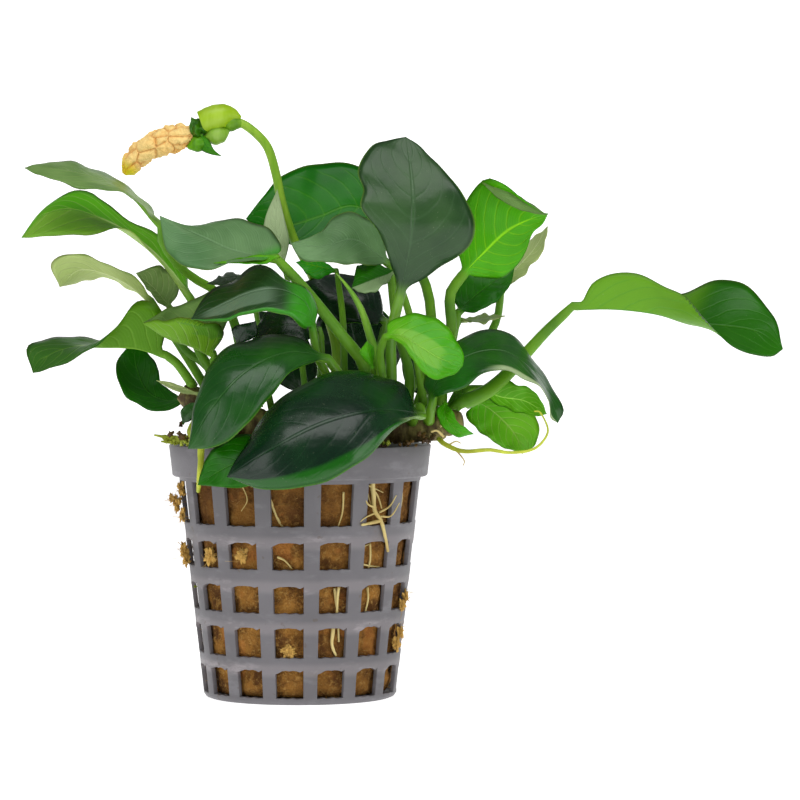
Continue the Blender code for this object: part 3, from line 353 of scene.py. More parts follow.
        "right": [(19.8, -21.0, 75.0), (22.0, -23.0, 73.4), (25.1, -25.0, 69.0), (27.9, -26.0, 67.2),
                  (31.6, -26.0, 67.8)],
    },
    "leaf_young_small": {
        "root": (15.2, -25), "radii": (0.6, 0.5),
        "stalk": [(15.8, -7.1, 65.6)],
        "mid": [(15.3, -12.8, 69.2), (14.4, -15.0, 72.1), (14.2, -15.0, 74.8)],
        "left": [(12.7, -15.0, 72.3)],
        "right": [(15.7, -13.2, 73.2)],
    },
    "leaf_arched_right": {
        "root": (27.0, -72), "radii": (1.1, 1.0),
        "stalk": [],
        "mid": [(27.5, -8.8, 61.0), (28.9, -9.0, 66.6), (35.1, -9.0, 71.6), (42.4, -8.0, 72.6),
                (48.5, -7.0, 68.7), (52.5, -6.0, 62.4), (53.9, -6.0, 57.6)],
        "left": [(25.6, -5.8, 65.5), (29.0, -3.5, 71.7), (34.7, -2.0, 75.9), (41.6, -1.0, 77.0),
                 (47.8, -2.0, 72.8), (52.2, -3.0, 65.7), (55.2, -5.0, 60.3)],
        "right": [(28.7, -12.0, 63.0), (33.0, -14.0, 64.5), (37.5, -15.0, 67.6), (42.7, -14.0, 68.6),
                  (48.3, -12.0, 66.1), (52.0, -9.5, 62.1), (52.3, -8.4, 58.9)],
    },
    "leaf_far_right": {
        "root": (32.5, -25), "radii": (1.6, 0.95),
        "stalk": [(38.4, -2.5, 63.6), (43.5, 1.5, 67.6), (48.0, 3.5, 72.5), (52.1, 2.5, 77.0)],
        "mid": [(57.3, 0.0, 82.0), (66.6, 0.0, 81.8), (75.2, 0.0, 80.6), (82.5, -1.0, 78.2),
                (88.5, -2.5, 77.8), (95.5, -5.0, 76.6), (100.8, -6.0, 73.0)],
        "left": [(63.2, 4.0, 82.6), (71.9, 8.0, 83.3), (80.5, 9.0, 84.8), (88.3, 6.0, 87.5),
                 (94.4, 3.0, 86.0), (99.2, -1.0, 80.1)],
        "right": [(59.8, -2.0, 86.0), (66.6, -3.0, 88.9), (74.3, -4.0, 87.4), (80.4, -6.0, 83.7),
                  (86.3, -10.0, 77.0), (92.3, -12.0, 72.1), (98.2, -9.0, 71.6)],
    },
    "leaf_yellow_right": {
        "root": (33.0, 20), "radii": (0.9, 0.8),
        "stalk": [(35.0, 1.5, 64.3)],
        "mid": [(38.5, 4.0, 64.6), (42.2, 5.5, 63.2), (47.5, 5.5, 62.1), (52.0, 3.5, 59.2)],
        "left": [(41.2, 8.5, 61.2), (46.5, 8.5, 59.3), (50.0, 6.0, 58.7)],
        "right": [(40.6, 4.5, 66.8), (45.2, 3.0, 65.8), (49.9, 3.0, 63.5)],
    },
    "leaf_lower_right": {
        "root": (31.0, 85), "radii": (0.9, 0.8),
        "stalk": [(33.5, 6.5, 60.8)],
        "mid": [(36.2, 9.5, 61.6), (39.0, 10.5, 60.8), (42.7, 11.0, 57.8), (45.7, 11.0, 54.2),
                (47.1, 9.5, 50.6)],
        "left": [(41.3, 13.0, 62.4), (47.7, 14.0, 60.9), (50.6, 13.0, 56.7), (49.9, 11.0, 52.5)],
        "right": [(35.0, 8.5, 58.5), (37.5, 7.5, 55.8), (41.1, 7.5, 53.0), (44.7, 8.5, 51.3)],
    },
    "leaf_curled_right": {
        "root": (30.0, -68), "radii": (0.7, 0.6),
        "stalk": [],
        "mid": [(30.4, -9.0, 62.0), (30.5, -11.5, 58.9), (32.2, -12.2, 56.8), (34.0, -12.2, 55.7),
                (36.3, -11.0, 55.5)],
        "left": [(31.9, -12.5, 60.3), (32.8, -13.0, 58.2), (34.5, -13.0, 56.9)],
        "right": [(28.6, -10.5, 60.5), (29.5, -11.2, 57.4), (32.6, -11.4, 54.9)],
    },
}

# Rolled spear of a leaf that has not opened yet: its line and its radii from root to point
SPEAR_ROOT = (16.0, 8)
SPEAR_LINE = [(16.2, -8.6, 70.8), (14.9, -9.2, 75.4), (12.9, -11.0, 81.4), (10.5, -12.0, 85.5),
              (7.8, -12.0, 88.8)]
SPEAR_RADII = [0.9, 0.95, 0.95, 0.85, 0.6, 0.12]

# Flower: the stalk, the bract wrapped round its top, the spike, and the thin sheath beside it
PEDUNCLE_ROOT = (5.5, 60)
PEDUNCLE_LINE = [(7.5, 9.5, 72.0), (4.0, 11.0, 84.0), (1.2, 6.5, 91.0), (-1.3, 4.0, 95.9),
                 (-3.9, 4.0, 103.8), (-5.2, 4.0, 110.0), (-6.9, 4.0, 115.4), (-9.6, 4.0, 118.6),
                 (-12.6, 4.0, 120.6)]
PEDUNCLE_RADII = [1.1, 1.05, 1.0, 0.95, 0.95, 0.95, 0.95, 0.95, 0.95, 0.9]
SPADIX_LINE = [(-22.6, 4.0, 118.0), (-27.1, 4.0, 117.2), (-30.5, 4.0, 116.0), (-33.9, 4.0, 113.9),
               (-37.2, 4.0, 109.8)]
SHEATH = {
    "root": (1.5, 35), "radii": (0.7, 0.5),
    "stalk": [(0.0, 5.5, 72.0), (-2.0, 4.0, 84.0)],
    "mid": [(-3.4, 1.5, 90.5), (-4.9, 1.2, 98.0), (-4.8, 1.6, 106.6)],
    "left": [(-6.4, 0.6, 93.0), (-7.6, 0.8, 99.2)],
    "right": [(-2.3, 0.8, 95.5), (-3.4, 1.0, 101.0)],
}

ROOTS = {
    "root_aerial": ([(29.0, -9.2, 54.4), (30.6, -11.6, 53.2), (34.2, -13.6, 52.0), (39.4, -14.0, 52.3),
                     (44.0, -13.0, 51.7), (49.0, -12.0, 52.6), (51.6, -11.5, 56.0), (50.0, -11.0, 60.0),
                     (48.8, -10.6, 60.2)], (0.55, 0.16)),
    "root_over_rim": ([(-19.6, -22.4, 53.8), (-19.6, -23.6, 50.2), (-19.9, -23.4, 47.0),
                       (-20.4, -19.0, 44.0)], (0.75, 0.4)),
    "root_window_left": ([(-5.6, -22.9, 42.6), (-4.0, -22.5, 38.6), (-2.2, -22.1, 35.6)], (0.34, 0.24)),
    "root_window_right": ([(15.3, -17.4, 45.4), (16.2, -15.9, 40.0), (16.8, -15.0, 34.6)], (0.36, 0.26)),
    "root_window_low": ([(7.6, -19.9, 24.2), (8.2, -18.9, 18.0), (8.4, -18.3, 13.0)], (0.32, 0.2)),
}

# Thin side rootlets: a line of points and the radii at its two ends
ROOTLETS = [
    ([(32.2, -12.7, 52.6), (34.3, -13.5, 50.0), (34.0, -13.6, 49.0)], (0.22, 0.08)),
    ([(31.0, -11.9, 53.2), (32.6, -12.2, 54.0), (33.6, -12.0, 53.6)], (0.22, 0.08)),
    ([(30.0, -10.6, 55.0), (28.6, -12.0, 56.2), (27.4, -12.8, 56.0)], (0.3, 0.18)),
    ([(29.4, -9.6, 57.0), (30.6, -11.6, 58.2), (32.0, -12.0, 57.6)], (0.26, 0.12)),
]

# Roots against the pot's wall: turn from the front, height and distance off the wall at each point,
# and the radii at the two ends
WINDOW_ROOTS = [
    ([(39, 46.2, -1.0), (39.5, 43, -0.6), (39.5, 40, 0.2), (43, 38, 0.55), (47, 34.5, 0.55), (50, 31.4, 0.5)],
     (0.55, 0.28)),
    ([(40, 40.6, 0.2), (35.5, 41.4, 0.1), (33.5, 43.2, -0.5)], (0.26, 0.1)),
    ([(40, 39.6, 0.3), (34, 38.6, 0.2), (31.5, 37.6, -0.2)], (0.2, 0.1)),
    ([(44, 38.0, 0.4), (38, 37.6, 0.5), (32, 37.2, 0.45)], (0.42, 0.24)),
    ([(42, 39.6, 0.3), (48, 40.8, 0.6), (52, 43.0, 0.7)], (0.24, 0.1)),
    ([(43, 38.8, 0.4), (49, 38.8, 0.8), (54, 41.4, 1.0)], (0.22, 0.1)),
    ([(39, 44.5, -0.9), (42, 43.0, -0.5), (44, 40.4, 0.1)], (0.22, 0.14)),
    ([(33, 45.8, -1.1), (39, 44.8, -0.9), (47, 43.6, -1.1)], (0.16, 0.1)),
    ([(35, 46.2, -1.0), (38, 42.0, -0.9), (41, 40.4, -0.6)], (0.14, 0.1)),
    ([(-10.3, 30.7, -1.0), (-6.4, 30.0, -0.8), (-2.7, 28.3, -1.0)], (0.24, 0.12)),
    ([(40.2, 33.2, -0.9), (40.6, 30, -0.7), (40.2, 27.6, -1.0)], (0.26, 0.2)),
    ([(32.3, 29.4, -1.0), (39.9, 28.6, -0.7), (48.6, 28.2, -1.0)], (0.24, 0.12)),
    ([(32.0, 30.4, -1.0), (34.8, 32.2, -0.9), (41.0, 33.2, -1.1)], (0.18, 0.1)),
    ([(22.6, 24.4, -0.9), (22.0, 21.6, -0.8), (22.2, 18.6, -1.0)], (0.3, 0.22)),
    ([(40.8, 24.2, -1.0), (41.4, 21.6, -0.8), (40.4, 18.8, -1.0)], (0.26, 0.18)),
    ([(20.4, 16.0, -0.9), (19.8, 12.6, -0.7), (22.6, 10.2, -0.9)], (0.42, 0.26)),
    ([(59.8, 46.2, -0.9), (61.8, 41.7, -0.7), (59.2, 36.8, -0.9)], (0.26, 0.18)),
    ([(23.2, 44.0, -1.1), (22.9, 40.0, -0.9), (21.0, 36.8, -1.0)], (0.22, 0.14)),
    ([(-28, 45.6, -1.0), (-25, 42.4, -0.8), (-29, 40.0, -1.0)], (0.14, 0.08)),
]

# Where the flower's stalk runs on into the hood
FLOWER_JOINT = (-14.0, 4.0, 120.6)

# Moss and crumbs of bark on the rim: strands by line and end radii, clumps by place, size and how many
MOSS_STRANDS = [([(-23.0, -11.0, 54.2), (-26.2, -10.0, 54.6), (-30.0, -9.0, 55.2)], (0.75, 0.25)),
                ([(-24.0, -10.5, 54.4), (-26.4, -10.0, 53.8), (-28.6, -9.5, 53.9)], (0.6, 0.2)),
                ([(-21.0, -14.0, 53.8), (-22.4, -12.0, 56.0), (-22.0, -10.0, 58.4)], (0.8, 0.3))]
MOSS = [((-22.6, -13.5, 53.6), 1.1, 14), ((-25.6, -10.5, 53.8), 0.9, 10), ((-20.0, -17.0, 53.7), 1.0, 9),
        ((-27.8, -8.0, 54.4), 0.6, 6), ((18.0, -18.0, 53.6), 0.8, 8), ((-21.6, -7.8, 23.6), 0.4, 3)]
CRUMBS = [((-23.4, -12.0, 55.0), 1.3, 12), ((17.0, -19.0, 53.2), 0.7, 9), ((22.5, -14.0, 53.4), 0.9, 10),
          ((26.0, -7.5, 54.6), 1.2, 8), ((-21.0, -4.0, 57.0), 1.2, 6)]

# Tufts of rock wool that stand out of the windows: turn from the front in degrees, height, reach
# beyond the wall and size
WOOL_TUFTS = [(-78.0, 43.8, 0.1, 1.3), (-80.0, 40.8, 1.3, 1.3), (-76.0, 38.4, 0.7, 1.1),
              (-80.0, 41.9, 2.3, 0.8), (-79.0, 31.0, 1.0, 1.2), (-78.0, 29.0, 0.8, 1.1),
              (-52.0, 30.4, -0.6, 1.3), (-30.0, 31.0, -0.9, 1.1), (-5.0, 11.2, -1.0, 1.1),
              (76.0, 21.5, 0.3, 1.0), (72.0, 19.8, 0.3, 1.0), (73.0, 14.0, 0.3, 1.1),
              (70.0, 11.8, 0.1, 1.2)]

# The spike's radius at each share of its length
SPIKE_SHAPE = [(0, 1.3), (0.03, 2.3), (0.10, 3.0), (0.3, 3.2), (0.55, 3.0), (0.8, 2.5), (0.93, 1.9),
               (1.0, 0.5)]

# The flower's hood, and the lobes under it and round the foot of the spike: line, radii, how knobbly,
# colour and streaks
HOOD_LINE = [(-12.5, 4.0, 121.7), (-14.2, 4.0, 122.1), (-16.4, 4.0, 122.0), (-18.8, 4.0, 121.4),
             (-20.9, 4.0, 120.6)]
HOOD_RADII = [0.3, 1.9, 2.5, 2.7, 2.75, 2.7, 2.6, 2.5]
BRACT_LOBES = [
    ("bract_neck", [(-12.3, 4.0, 120.5), (-14.2, 3.9, 120.4), (-16.6, 3.9, 120.0)],
     [0.85, 1.2, 1.6, 1.5, 0.5], 0.04, (104, 150, 24), (70, 120, 20)),
    ("bract_lobe", [(-14.9, 3.6, 119.2), (-17.2, 3.4, 118.0), (-20.3, 3.4, 117.4)], [0.3, 1.6, 1.9, 1.7, 0.4],
     0.06, (110, 158, 20), (140, 176, 76)),
    ("bract_ruff", [(-19.4, 4.0, 120.2), (-21.2, 4.0, 119.2), (-23.2, 4.0, 118.4)], [0.6, 2.0, 2.3, 2.1, 1.2],
     0.8, (62, 118, 6), (30, 80, 4)),
    ("bract_lip", [(-19.8, 3.0, 117.6), (-21.4, 2.8, 116.2), (-23.7, 3.0, 115.4)], [0.4, 1.5, 1.7, 1.3, 0.4],
     0.12, (104, 166, 10), (64, 124, 8)),
]

# Turned-over margins and small loose bits, as blades: look, material slot and shape
FOLDS = {
    "fold_bright_right": ("olive", "leaf_bright", {
        "mid": [(38.2, -3.4, 108.0), (42.6, -5.2, 104.8), (47.4, -5.2, 102.6), (51.8, -2.6, 101.0)],
        "left": [(39.6, -3.0, 108.9), (43.6, -4.4, 106.2), (47.8, -4.4, 103.8)],
        "right": [(39.2, -5.0, 106.4), (43.2, -6.4, 103.2), (48.0, -6.0, 101.4)]}),
    "fold_folded_left": ("young", "leaf_mid", {
        "mid": [(-4.0, -14.6, 92.2), (-8.6, -17.0, 91.3), (-13.0, -20.0, 91.1), (-17.0, -22.2, 90.7)],
        "left": [(-6.6, -18.4, 90.6), (-10.8, -21.2, 90.6)],
        "right": [(-7.2, -15.6, 92.6), (-12.0, -19.4, 91.8)]}),
    "bract_tip": ("tip", "bract_green", {
        "mid": [(-20.9, 2.4, 118.0), (-19.3, 1.6, 115.2), (-16.3, 1.4, 113.4)],
        "left": [(-20.9, 2.2, 115.0), (-19.0, 1.6, 113.9)],
        "right": [(-19.3, 2.2, 117.0), (-18.0, 1.6, 114.8)]}),
    "withered_bit": ("dark", "leaf_dark", {
        "mid": [(-24.6, -2.0, 57.4), (-23.4, -3.4, 59.6), (-21.0, -4.6, 61.6)],
        "left": [(-24.8, -3.6, 60.2), (-22.6, -4.8, 61.8)],
        "right": [(-22.8, -3.4, 58.0), (-20.8, -4.2, 60.0)]}),
    "pointed_sprout": ("pale", "leaf_pale", {
        "mid": [(-21.0, -4.0, 63.6), (-25.6, -5.0, 64.9), (-29.8, -5.6, 66.5)],
        "left": [(-24.0, -5.4, 63.7), (-27.4, -5.8, 65.0)],
        "right": [(-23.6, -4.6, 64.9), (-27.2, -5.2, 66.2)]}),
}

# Leaf looks: upper side, its lighter clouds, under side, veins, margin, how rough, and how clear the
# veins and the fine lines between them are
TONES = {
    "black": ((8, 36, 22), (18, 54, 26), (70, 120, 20), (38, 78, 40), (80, 140, 30), 0.24, 0.06, 0.02),
    "dark": ((18, 66, 18), (40, 90, 28), (100, 150, 30), (66, 112, 52), (90, 140, 30), 0.28, 0.07, 0.03),
    "slate": ((30, 60, 28), (50, 80, 42), (100, 150, 40), (70, 104, 66), (100, 140, 50), 0.33, 0.12, 0.03),
    "grey": ((74, 110, 66), (104, 140, 92), (120, 170, 40), (124, 160, 116), (120, 150, 60),
            0.38, 0.12, 0.12),
    "olive": ((88, 126, 60), (118, 152, 84), (104, 156, 30), (140, 170, 92), (116, 110, 50),
             0.38, 0.25, 0.14),
    "deep": ((28, 92, 8), (44, 116, 14), (96, 150, 30), (76, 138, 38), (80, 120, 30), 0.30, 0.10, 0.03),
    "mid": ((44, 104, 14), (66, 128, 22), (84, 136, 16), (110, 156, 50), (96, 110, 34), 0.36, 0.25, 0.08),
    "leafy": ((14, 92, 0), (30, 110, 0), (96, 150, 24), (90, 150, 36), (70, 110, 20), 0.34, 0.16, 0.03),
    # Bright green: the leaves' own fresh colour and, on leaf_bright_right, painted light shining through the
    # leaf from behind
    "bright": ((24, 128, 0), (42, 142, 0), (76, 170, 0), (130, 200, 20), (80, 130, 10), 0.34, 0.24, 0.03),
    "fresh": ((76, 156, 8), (104, 172, 30), (150, 186, 84), (170, 204, 100), (110, 130, 50),
             0.36, 0.24, 0.06),
    "young": ((64, 152, 2), (96, 168, 24), (84, 160, 4), (150, 206, 80), (120, 180, 50), 0.32, 0.16, 0.04),
    "pale": ((166, 190, 112), (186, 204, 130), (186, 206, 128), (214, 226, 166), (140, 120, 70),
            0.45, 0.25, 0.20),
    "tip": ((14, 66, 22), (30, 90, 24), (60, 130, 10), (30, 90, 30), (70, 110, 20), 0.36, 0.10, 0.05),
    "sheath": ((140, 164, 118), (166, 188, 140), (150, 174, 124), (190, 208, 160), (130, 160, 100),
              0.50, 0.25, 0.30),
}

LEAF_TONES = {
    "black": ["leaf_front", "leaf_shaded", "leaf_shaded_small", "leaf_shaded_back", "leaf_inner",
              "leaf_inner_left"],
    "dark": ["leaf_front_left", "leaf_arched_right", "leaf_inner_right"],
    "slate": ["leaf_crown", "leaf_middle_left", "leaf_withered"],
    "grey": ["leaf_crown_left", "leaf_folded_left"],
    "olive": ["leaf_upper_left", "leaf_boat_left"],
    "deep": ["leaf_curved_left", "leaf_front_lower", "leaf_shaded_right", "leaf_far_right", "leaf_striped"],
    "mid": ["leaf_twisted_left"],
    "leafy": ["leaf_back_left"],
    "bright": ["leaf_bright_right", "leaf_young_back"],
    "fresh": ["leaf_bright_left", "leaf_lower_right"],
    "young": ["leaf_young_front", "leaf_young_small", "leaf_yellow_right", "leaf_curled_right"],
    "pale": ["leaf_pale_left", "leaf_pale_right", "leaf_thin_right", "leaf_small_left"],
}

# Places of a blade coloured differently, some of them painted sheen: colour, from where to where along it,
# from where to where across it (-1 left margin, 1 right margin), and how strongly
PATCHES = {
    "leaf_bright_left": [((176, 200, 120), -0.1, 0.42, -1.2, -0.1, 0.8),
                         ((92, 150, 30), -0.1, 0.5, 0.0, 1.2, 0.5),
                         ((200, 222, 150), -0.1, 0.55, -0.1, 0.06, 0.9),
                         ((132, 176, 64), 0.5, 1.1, -1.2, -0.05, 0.7)],
    "leaf_twisted_left": [((52, 92, 36), 0.62, 1.1, -1.2, 1.2, 0.8),
                          ((86, 140, 14), -0.1, 0.5, -1.2, 1.2, 0.6),
                          ((176, 200, 110), -0.1, 0.6, -0.1, 0.1, 0.8)],
    "leaf_boat_left": [((74, 132, 14), -0.1, 1.1, -1.2, -0.05, 0.85)],
    "leaf_middle_left": [((50, 142, 6), -0.1, 0.34, -1.2, 1.2, 0.85),
                         # Painted sheen: the pale grey-green patch in the middle of the blade
                         ((150, 178, 150), 0.45, 0.9, -0.6, 0.1, 0.35),
                         ((54, 150, 14), 0.3, 1.1, -1.2, -0.84, 0.9)],
    "leaf_front": [((30, 100, 14), -0.1, 1.1, -1.2, -0.72, 0.7),
                   ((40, 110, 20), -0.1, 1.1, 0.93, 1.2, 0.6),
                   ((160, 190, 120), -0.1, 0.16, -1.2, -0.5, 0.5)],
    "leaf_front_left": [((44, 110, 20), -0.1, 1.1, -1.2, -0.93, 0.6)],
    "leaf_far_right": [((96, 152, 34), -0.1, 0.56, -1.2, 1.2, 0.8),
                       ((150, 196, 60), -0.1, 0.55, 0.1, 0.7, 0.35),
                       ((40, 98, 10), 0.56, 1.1, -1.2, 1.2, 0.6)],
    "leaf_arched_right": [((30, 112, 10), -0.1, 0.35, -1.2, 1.2, 0.45),
                          ((170, 190, 140), 0.45, 1.1, 0.75, 1.2, 0.8)],
    "leaf_folded_left": [((60, 112, 60), 0.5, 1.1, -1.2, -0.2, 0.35),
                         ((56, 150, 24), -0.1, 0.16, -1.2, 1.2, 0.8)],
    "leaf_small_left": [((104, 136, 88), -0.1, 1.1, -1.2, 1.2, 0.75)],
    "leaf_young_front": [((134, 186, 70), 0.15, 0.75, -0.4, 0.5, 0.5)],
    # Painted sheen: the pale grey-silver left half of the blade
    "leaf_striped": [((176, 200, 150), -0.1, 1.1, -1.2, -0.1, 0.6)],
    # Painted sheen: the pale grey-green patch down the middle of the blade's half next to the stalk
    "leaf_upper_left": [((146, 176, 110), -0.1, 0.6, -0.5, 0.5, 0.5)],
    "leaf_pale_left": [((120, 150, 76), 0.15, 0.5, -1.2, -0.2, 0.5)],
}

BIG_LEAVES = ["leaf_crown", "leaf_front", "leaf_front_left", "leaf_folded_left", "leaf_far_right",
              "leaf_arched_right", "leaf_young_front", "leaf_bright_right", "leaf_back_left"]


class Value:
    """One number that runs between shader nodes, so that shader maths reads as plain sums."""

    def __init__(self, tree, socket):
        self.tree = tree
        self.socket = socket

    def join(self, operation, *items):
        node = self.tree.nodes.new("ShaderNodeMath")
        node.operation = operation
        for slot, item in zip(node.inputs, items):
            if isinstance(item, Value):
                self.tree.links.new(item.socket, slot)
            else:
                slot.default_value = item
        return Value(self.tree, node.outputs[0])

    def __add__(self, other):
        return self.join("ADD", self, other)

    def __radd__(self, other):
        return self.join("ADD", other, self)

    def __sub__(self, other):
        return self.join("SUBTRACT", self, other)

    def __rsub__(self, other):
        return self.join("SUBTRACT", other, self)

    def __mul__(self, other):
        return self.join("MULTIPLY", self, other)

    def __rmul__(self, other):
        return self.join("MULTIPLY", other, self)

    def __truediv__(self, other):
        return self.join("DIVIDE", self, other)

    def __pow__(self, other):
        return self.join("POWER", self, other)

    def __abs__(self):
        return self.join("ABSOLUTE", self)

    def sine(self):
        return self.join("SINE", self)

    def step(self, low, high):
        """Rises smoothly from 0 at low to 1 at high."""
        node = self.tree.nodes.new("ShaderNodeMapRange")
        node.interpolation_type = "SMOOTHSTEP"
        self.tree.links.new(self.socket, node.inputs["Value"])
        node.inputs["From Min"].default_value = low
        node.inputs["From Max"].default_value = high
        return Value(self.tree, node.outputs["Result"])


class Finish:
    """A material under construction, with short ways to add nodes to it."""

    def __init__(self, name, roughness=0.5, **constants):
        self.material = bpy.data.materials.new(name)
        self.material.use_nodes = True
        self.tree = self.material.node_tree
        self.shader = self.tree.nodes["Principled BSDF"]
        self.shader.inputs["Roughness"].default_value = roughness
        for socket, value in constants.items():
            self.shader.inputs[socket.replace("_", " ")].default_value = value

    def node(self, kind, settings=None, **sockets):
        node = self.tree.nodes.new(kind)
        for key, value in (settings or {}).items():
            setattr(node, key, value)
        for key, value in sockets.items():
            self.feed(node.inputs[key.replace("_", " ")], value)
        return node

    def feed(self, slot, value):
        if isinstance(value, Value):
            self.tree.links.new(value.socket, slot)
        elif isinstance(value, bpy.types.NodeSocket):
            self.tree.links.new(value, slot)
        elif isinstance(value, tuple) and len(value) == 3 and slot.type == "RGBA":
            slot.default_value = (*value, 1.0)
        else:
            slot.default_value = value

    def attribute(self, name):
        node = self.node("ShaderNodeAttribute", {"attribute_name": name})
        return Value(self.tree, node.outputs["Fac"])

    def place(self, stretch=(1.0, 1.0, 1.0)):
        """Object coordinates, stretched along each axis."""
        source = self.node("ShaderNodeTexCoord").outputs["Object"]
        return self.node("ShaderNodeMapping", Vector=source, Scale=stretch).outputs["Vector"]

    def height(self):
        """Height above the floor, in metres."""
        return Value(self.tree, self.node("ShaderNodeSeparateXYZ", Vector=self.place()).outputs["Z"])

    def noise(self, scale, detail=3.0, roughness=0.55, vector=None):
        node = self.node("ShaderNodeTexNoise", Vector=vector or self.place(), Scale=scale, Detail=detail,
                         Roughness=roughness)
        return Value(self.tree, node.outputs["Fac"])

    def cells(self, scale):
        node = self.node("ShaderNodeTexVoronoi", Vector=self.place(), Scale=scale)
        return Value(self.tree, node.outputs["Distance"])

    def blend(self, share, first, second):
        """A colour between first and second, by a share."""
        node = self.node("ShaderNodeMix", {"data_type": "RGBA"})
        self.feed(node.inputs["Factor"], share)
        for letter, colour in (("A", first), ("B", second)):
            self.feed([s for s in node.inputs if s.name == letter and s.type == "RGBA"][0], colour)
        return [s for s in node.outputs if s.type == "RGBA"][0]

    def between(self, value, low, high, soft):
        """1 where the value lies between low and high, falling softly to 0 outside them."""
        return value.step(low - soft, low + soft) * (1.0 - value.step(high - soft, high + soft))

    def bump(self, height, distance, strength=1.0, normal=None):
        node = self.node("ShaderNodeBump", Height=height, Distance=distance, Strength=strength)
        if normal is not None:
            self.tree.links.new(normal, node.inputs["Normal"])
        return node.outputs["Normal"]

    def finish(self, colour, roughness=None, normal=None):
        self.feed(self.shader.inputs["Base Color"], colour)
        if roughness is not None:
            self.feed(self.shader.inputs["Roughness"], roughness)
        if normal is not None:
            self.feed(self.shader.inputs["Normal"], normal)
        return self.material


def leaf_finish(name, tone, settings):
    """Waxy leaf: top and underside, curved side veins, a pale midrib, a thin rim and a green stalk."""
    *colours, shine, veins, lines = TONES[tone]
    top_colour, cloud_colour, under_colour, vein_colour, edge_colour = [tint(*each) for each in colours]
    waxy = tone in ("black", "dark", "slate")
    skin = Finish(name + "_skin", Specular_IOR_Level=0.32 if waxy else 0.16,
                  Coat_Weight=0.14 if waxy else 0.05, Coat_Roughness=0.14)
    across = skin.attribute("across")
    along = skin.attribute("along")
    side = skin.attribute("side")
    reach = abs(across)
    drift = skin.noise(90.0, 3.0)
    cloud = skin.noise(55.0, 3.0)
    fine = skin.noise(900.0, 4.0, 0.6)
    on_top = side.step(-0.4, 0.4)
    sweep = along - reach * settings.vein_slope - reach * reach * settings.vein_curl
    sweep = sweep * settings.vein_count + drift * 0.8 + cloud * 0.4
    vein = ((sweep * TURN).sine() * 0.5 + 0.5) ** 16.0
    ribs = ((sweep * (TURN * RIBS_A_VEIN)).sine() * 0.5 + 0.5) ** 2.0
    inside = 1.0 - reach.step(0.80, 0.97)
    midrib = (1.0 - reach.step(0.010, 0.05)) * (1.0 - along.step(0.75, 1.0))
    rim = reach.step(0.968, 0.992)
    stalk = 1.0 - along.step(-0.02, 0.10)
    top = skin.blend(cloud.step(0.38, 0.66), top_colour, cloud_colour)
    top = skin.blend(drift.step(0.5, 0.8) * 0.35, top, tuple(c * 0.6 for c in top_colour))
    # Patches of the leaves' own colours, and on a few leaves a painted sheen
    for colour, start, end, low, high, share in PATCHES.get(name, []):
        mask = skin.between(along, start, end, 0.06) * skin.between(across, low, high, 0.05)
        top = skin.blend(mask * share * (0.7 + cloud * 0.5), top, tint(*colour))
    top = skin.blend(vein * inside * veins + ribs * inside * lines, top, vein_colour)
    top = skin.blend(midrib * (0.15 + veins), top, vein_colour)
    under = skin.blend(cloud.step(0.3, 0.7) * 0.6, under_colour, tuple(c * 0.7 for c in under_colour))
    under = skin.blend(vein * inside * 0.35 + ribs * 0.10, under, vein_colour)
    under = skin.blend(midrib * 0.8, under, tuple(min(1.0, c * 1.3) for c in vein_colour))
    blade = skin.blend(on_top, under, top)
    blade = skin.blend(rim * 0.6, blade, edge_colour)
    tube = skin.blend(drift.step(0.35, 0.7), tuple(settings.stalk_colour), tuple(settings.stalk_shade))
    colour = skin.blend(stalk, blade, tube)
    colour = skin.blend(skin.noise(2600.0, 1.0).step(0.72, 0.80) * 0.25, colour, tint(140, 150, 120))
    rough = shine + (cloud - 0.5) * 0.25 + (1.0 - on_top) * 0.14 + fine * 0.06
    height = vein * (-2.0 * veins) - midrib * 0.8 + ribs * (-0.6 * lines)
    height = height + drift * (3.0 if waxy else 1.5)
    normal = skin.bump(height * inside * (1.0 - stalk), 0.00025, 0.7)
    normal = skin.bump(fine, 0.00004, 0.5, normal)
    return skin.finish(colour, rough, normal)


def stem_finish(name, light, shade, roughness=0.42):
    """Smooth fleshy green stem with faint long streaks."""
    skin = Finish(name, Specular_IOR_Level=0.25, Coat_Weight=0.1, Coat_Roughness=0.2)
    streak = skin.noise(420.0, 3.0, 0.5, skin.place((1.0, 1.0, 0.12)))
    fine = skin.noise(1500.0, 3.0)
    colour = skin.blend(streak.step(0.35, 0.68), light, shade)
    return skin.finish(colour, roughness + fine * 0.1, skin.bump(streak + fine * 0.3, 0.0001, 0.6))


def pot_finish(settings):
    """Matt grey moulded plastic, a little mottled, with pale scuffs, dust and small brown stains."""
    skin = Finish("pot_plastic", Specular_IOR_Level=0.4)
    cloud = skin.noise(45.0, 4.0)
    speck = skin.noise(520.0, 2.0).step(0.68, 0.74)
    stain = skin.noise(130.0, 5.0, 0.7).step(0.60, 0.74)
    scuff = skin.noise(200.0, 4.0, 0.65, skin.place((0.5, 0.5, 1.6))).step(0.52, 0.72)
    level = skin.height() * 1000.0
    thin = 0.0
    for high, _ in WINDOW_ROWS[1:]:
        thin = (1.0 - abs(level - (high - 0.1)).step(0.5, 1.9)) + thin
    base = skin.blend(cloud.step(0.3, 0.7), tuple(settings.plastic_colour), tuple(settings.plastic_shade))
    base = skin.blend(thin * (0.25 + scuff * 0.5), base, (0.34, 0.30, 0.31))
    base = skin.blend(scuff * 0.15, base, (0.40, 0.39, 0.42))
    base = skin.blend(stain * 0.28, base, (0.14, 0.10, 0.07))
    base = skin.blend(speck * 0.45, base, (0.10, 0.07, 0.05))
    fine = skin.noise(1800.0, 3.0)
    return skin.finish(base, 0.42 + cloud * 0.2, skin.bump(fine + cloud * 2.0, 0.00006, 0.5))


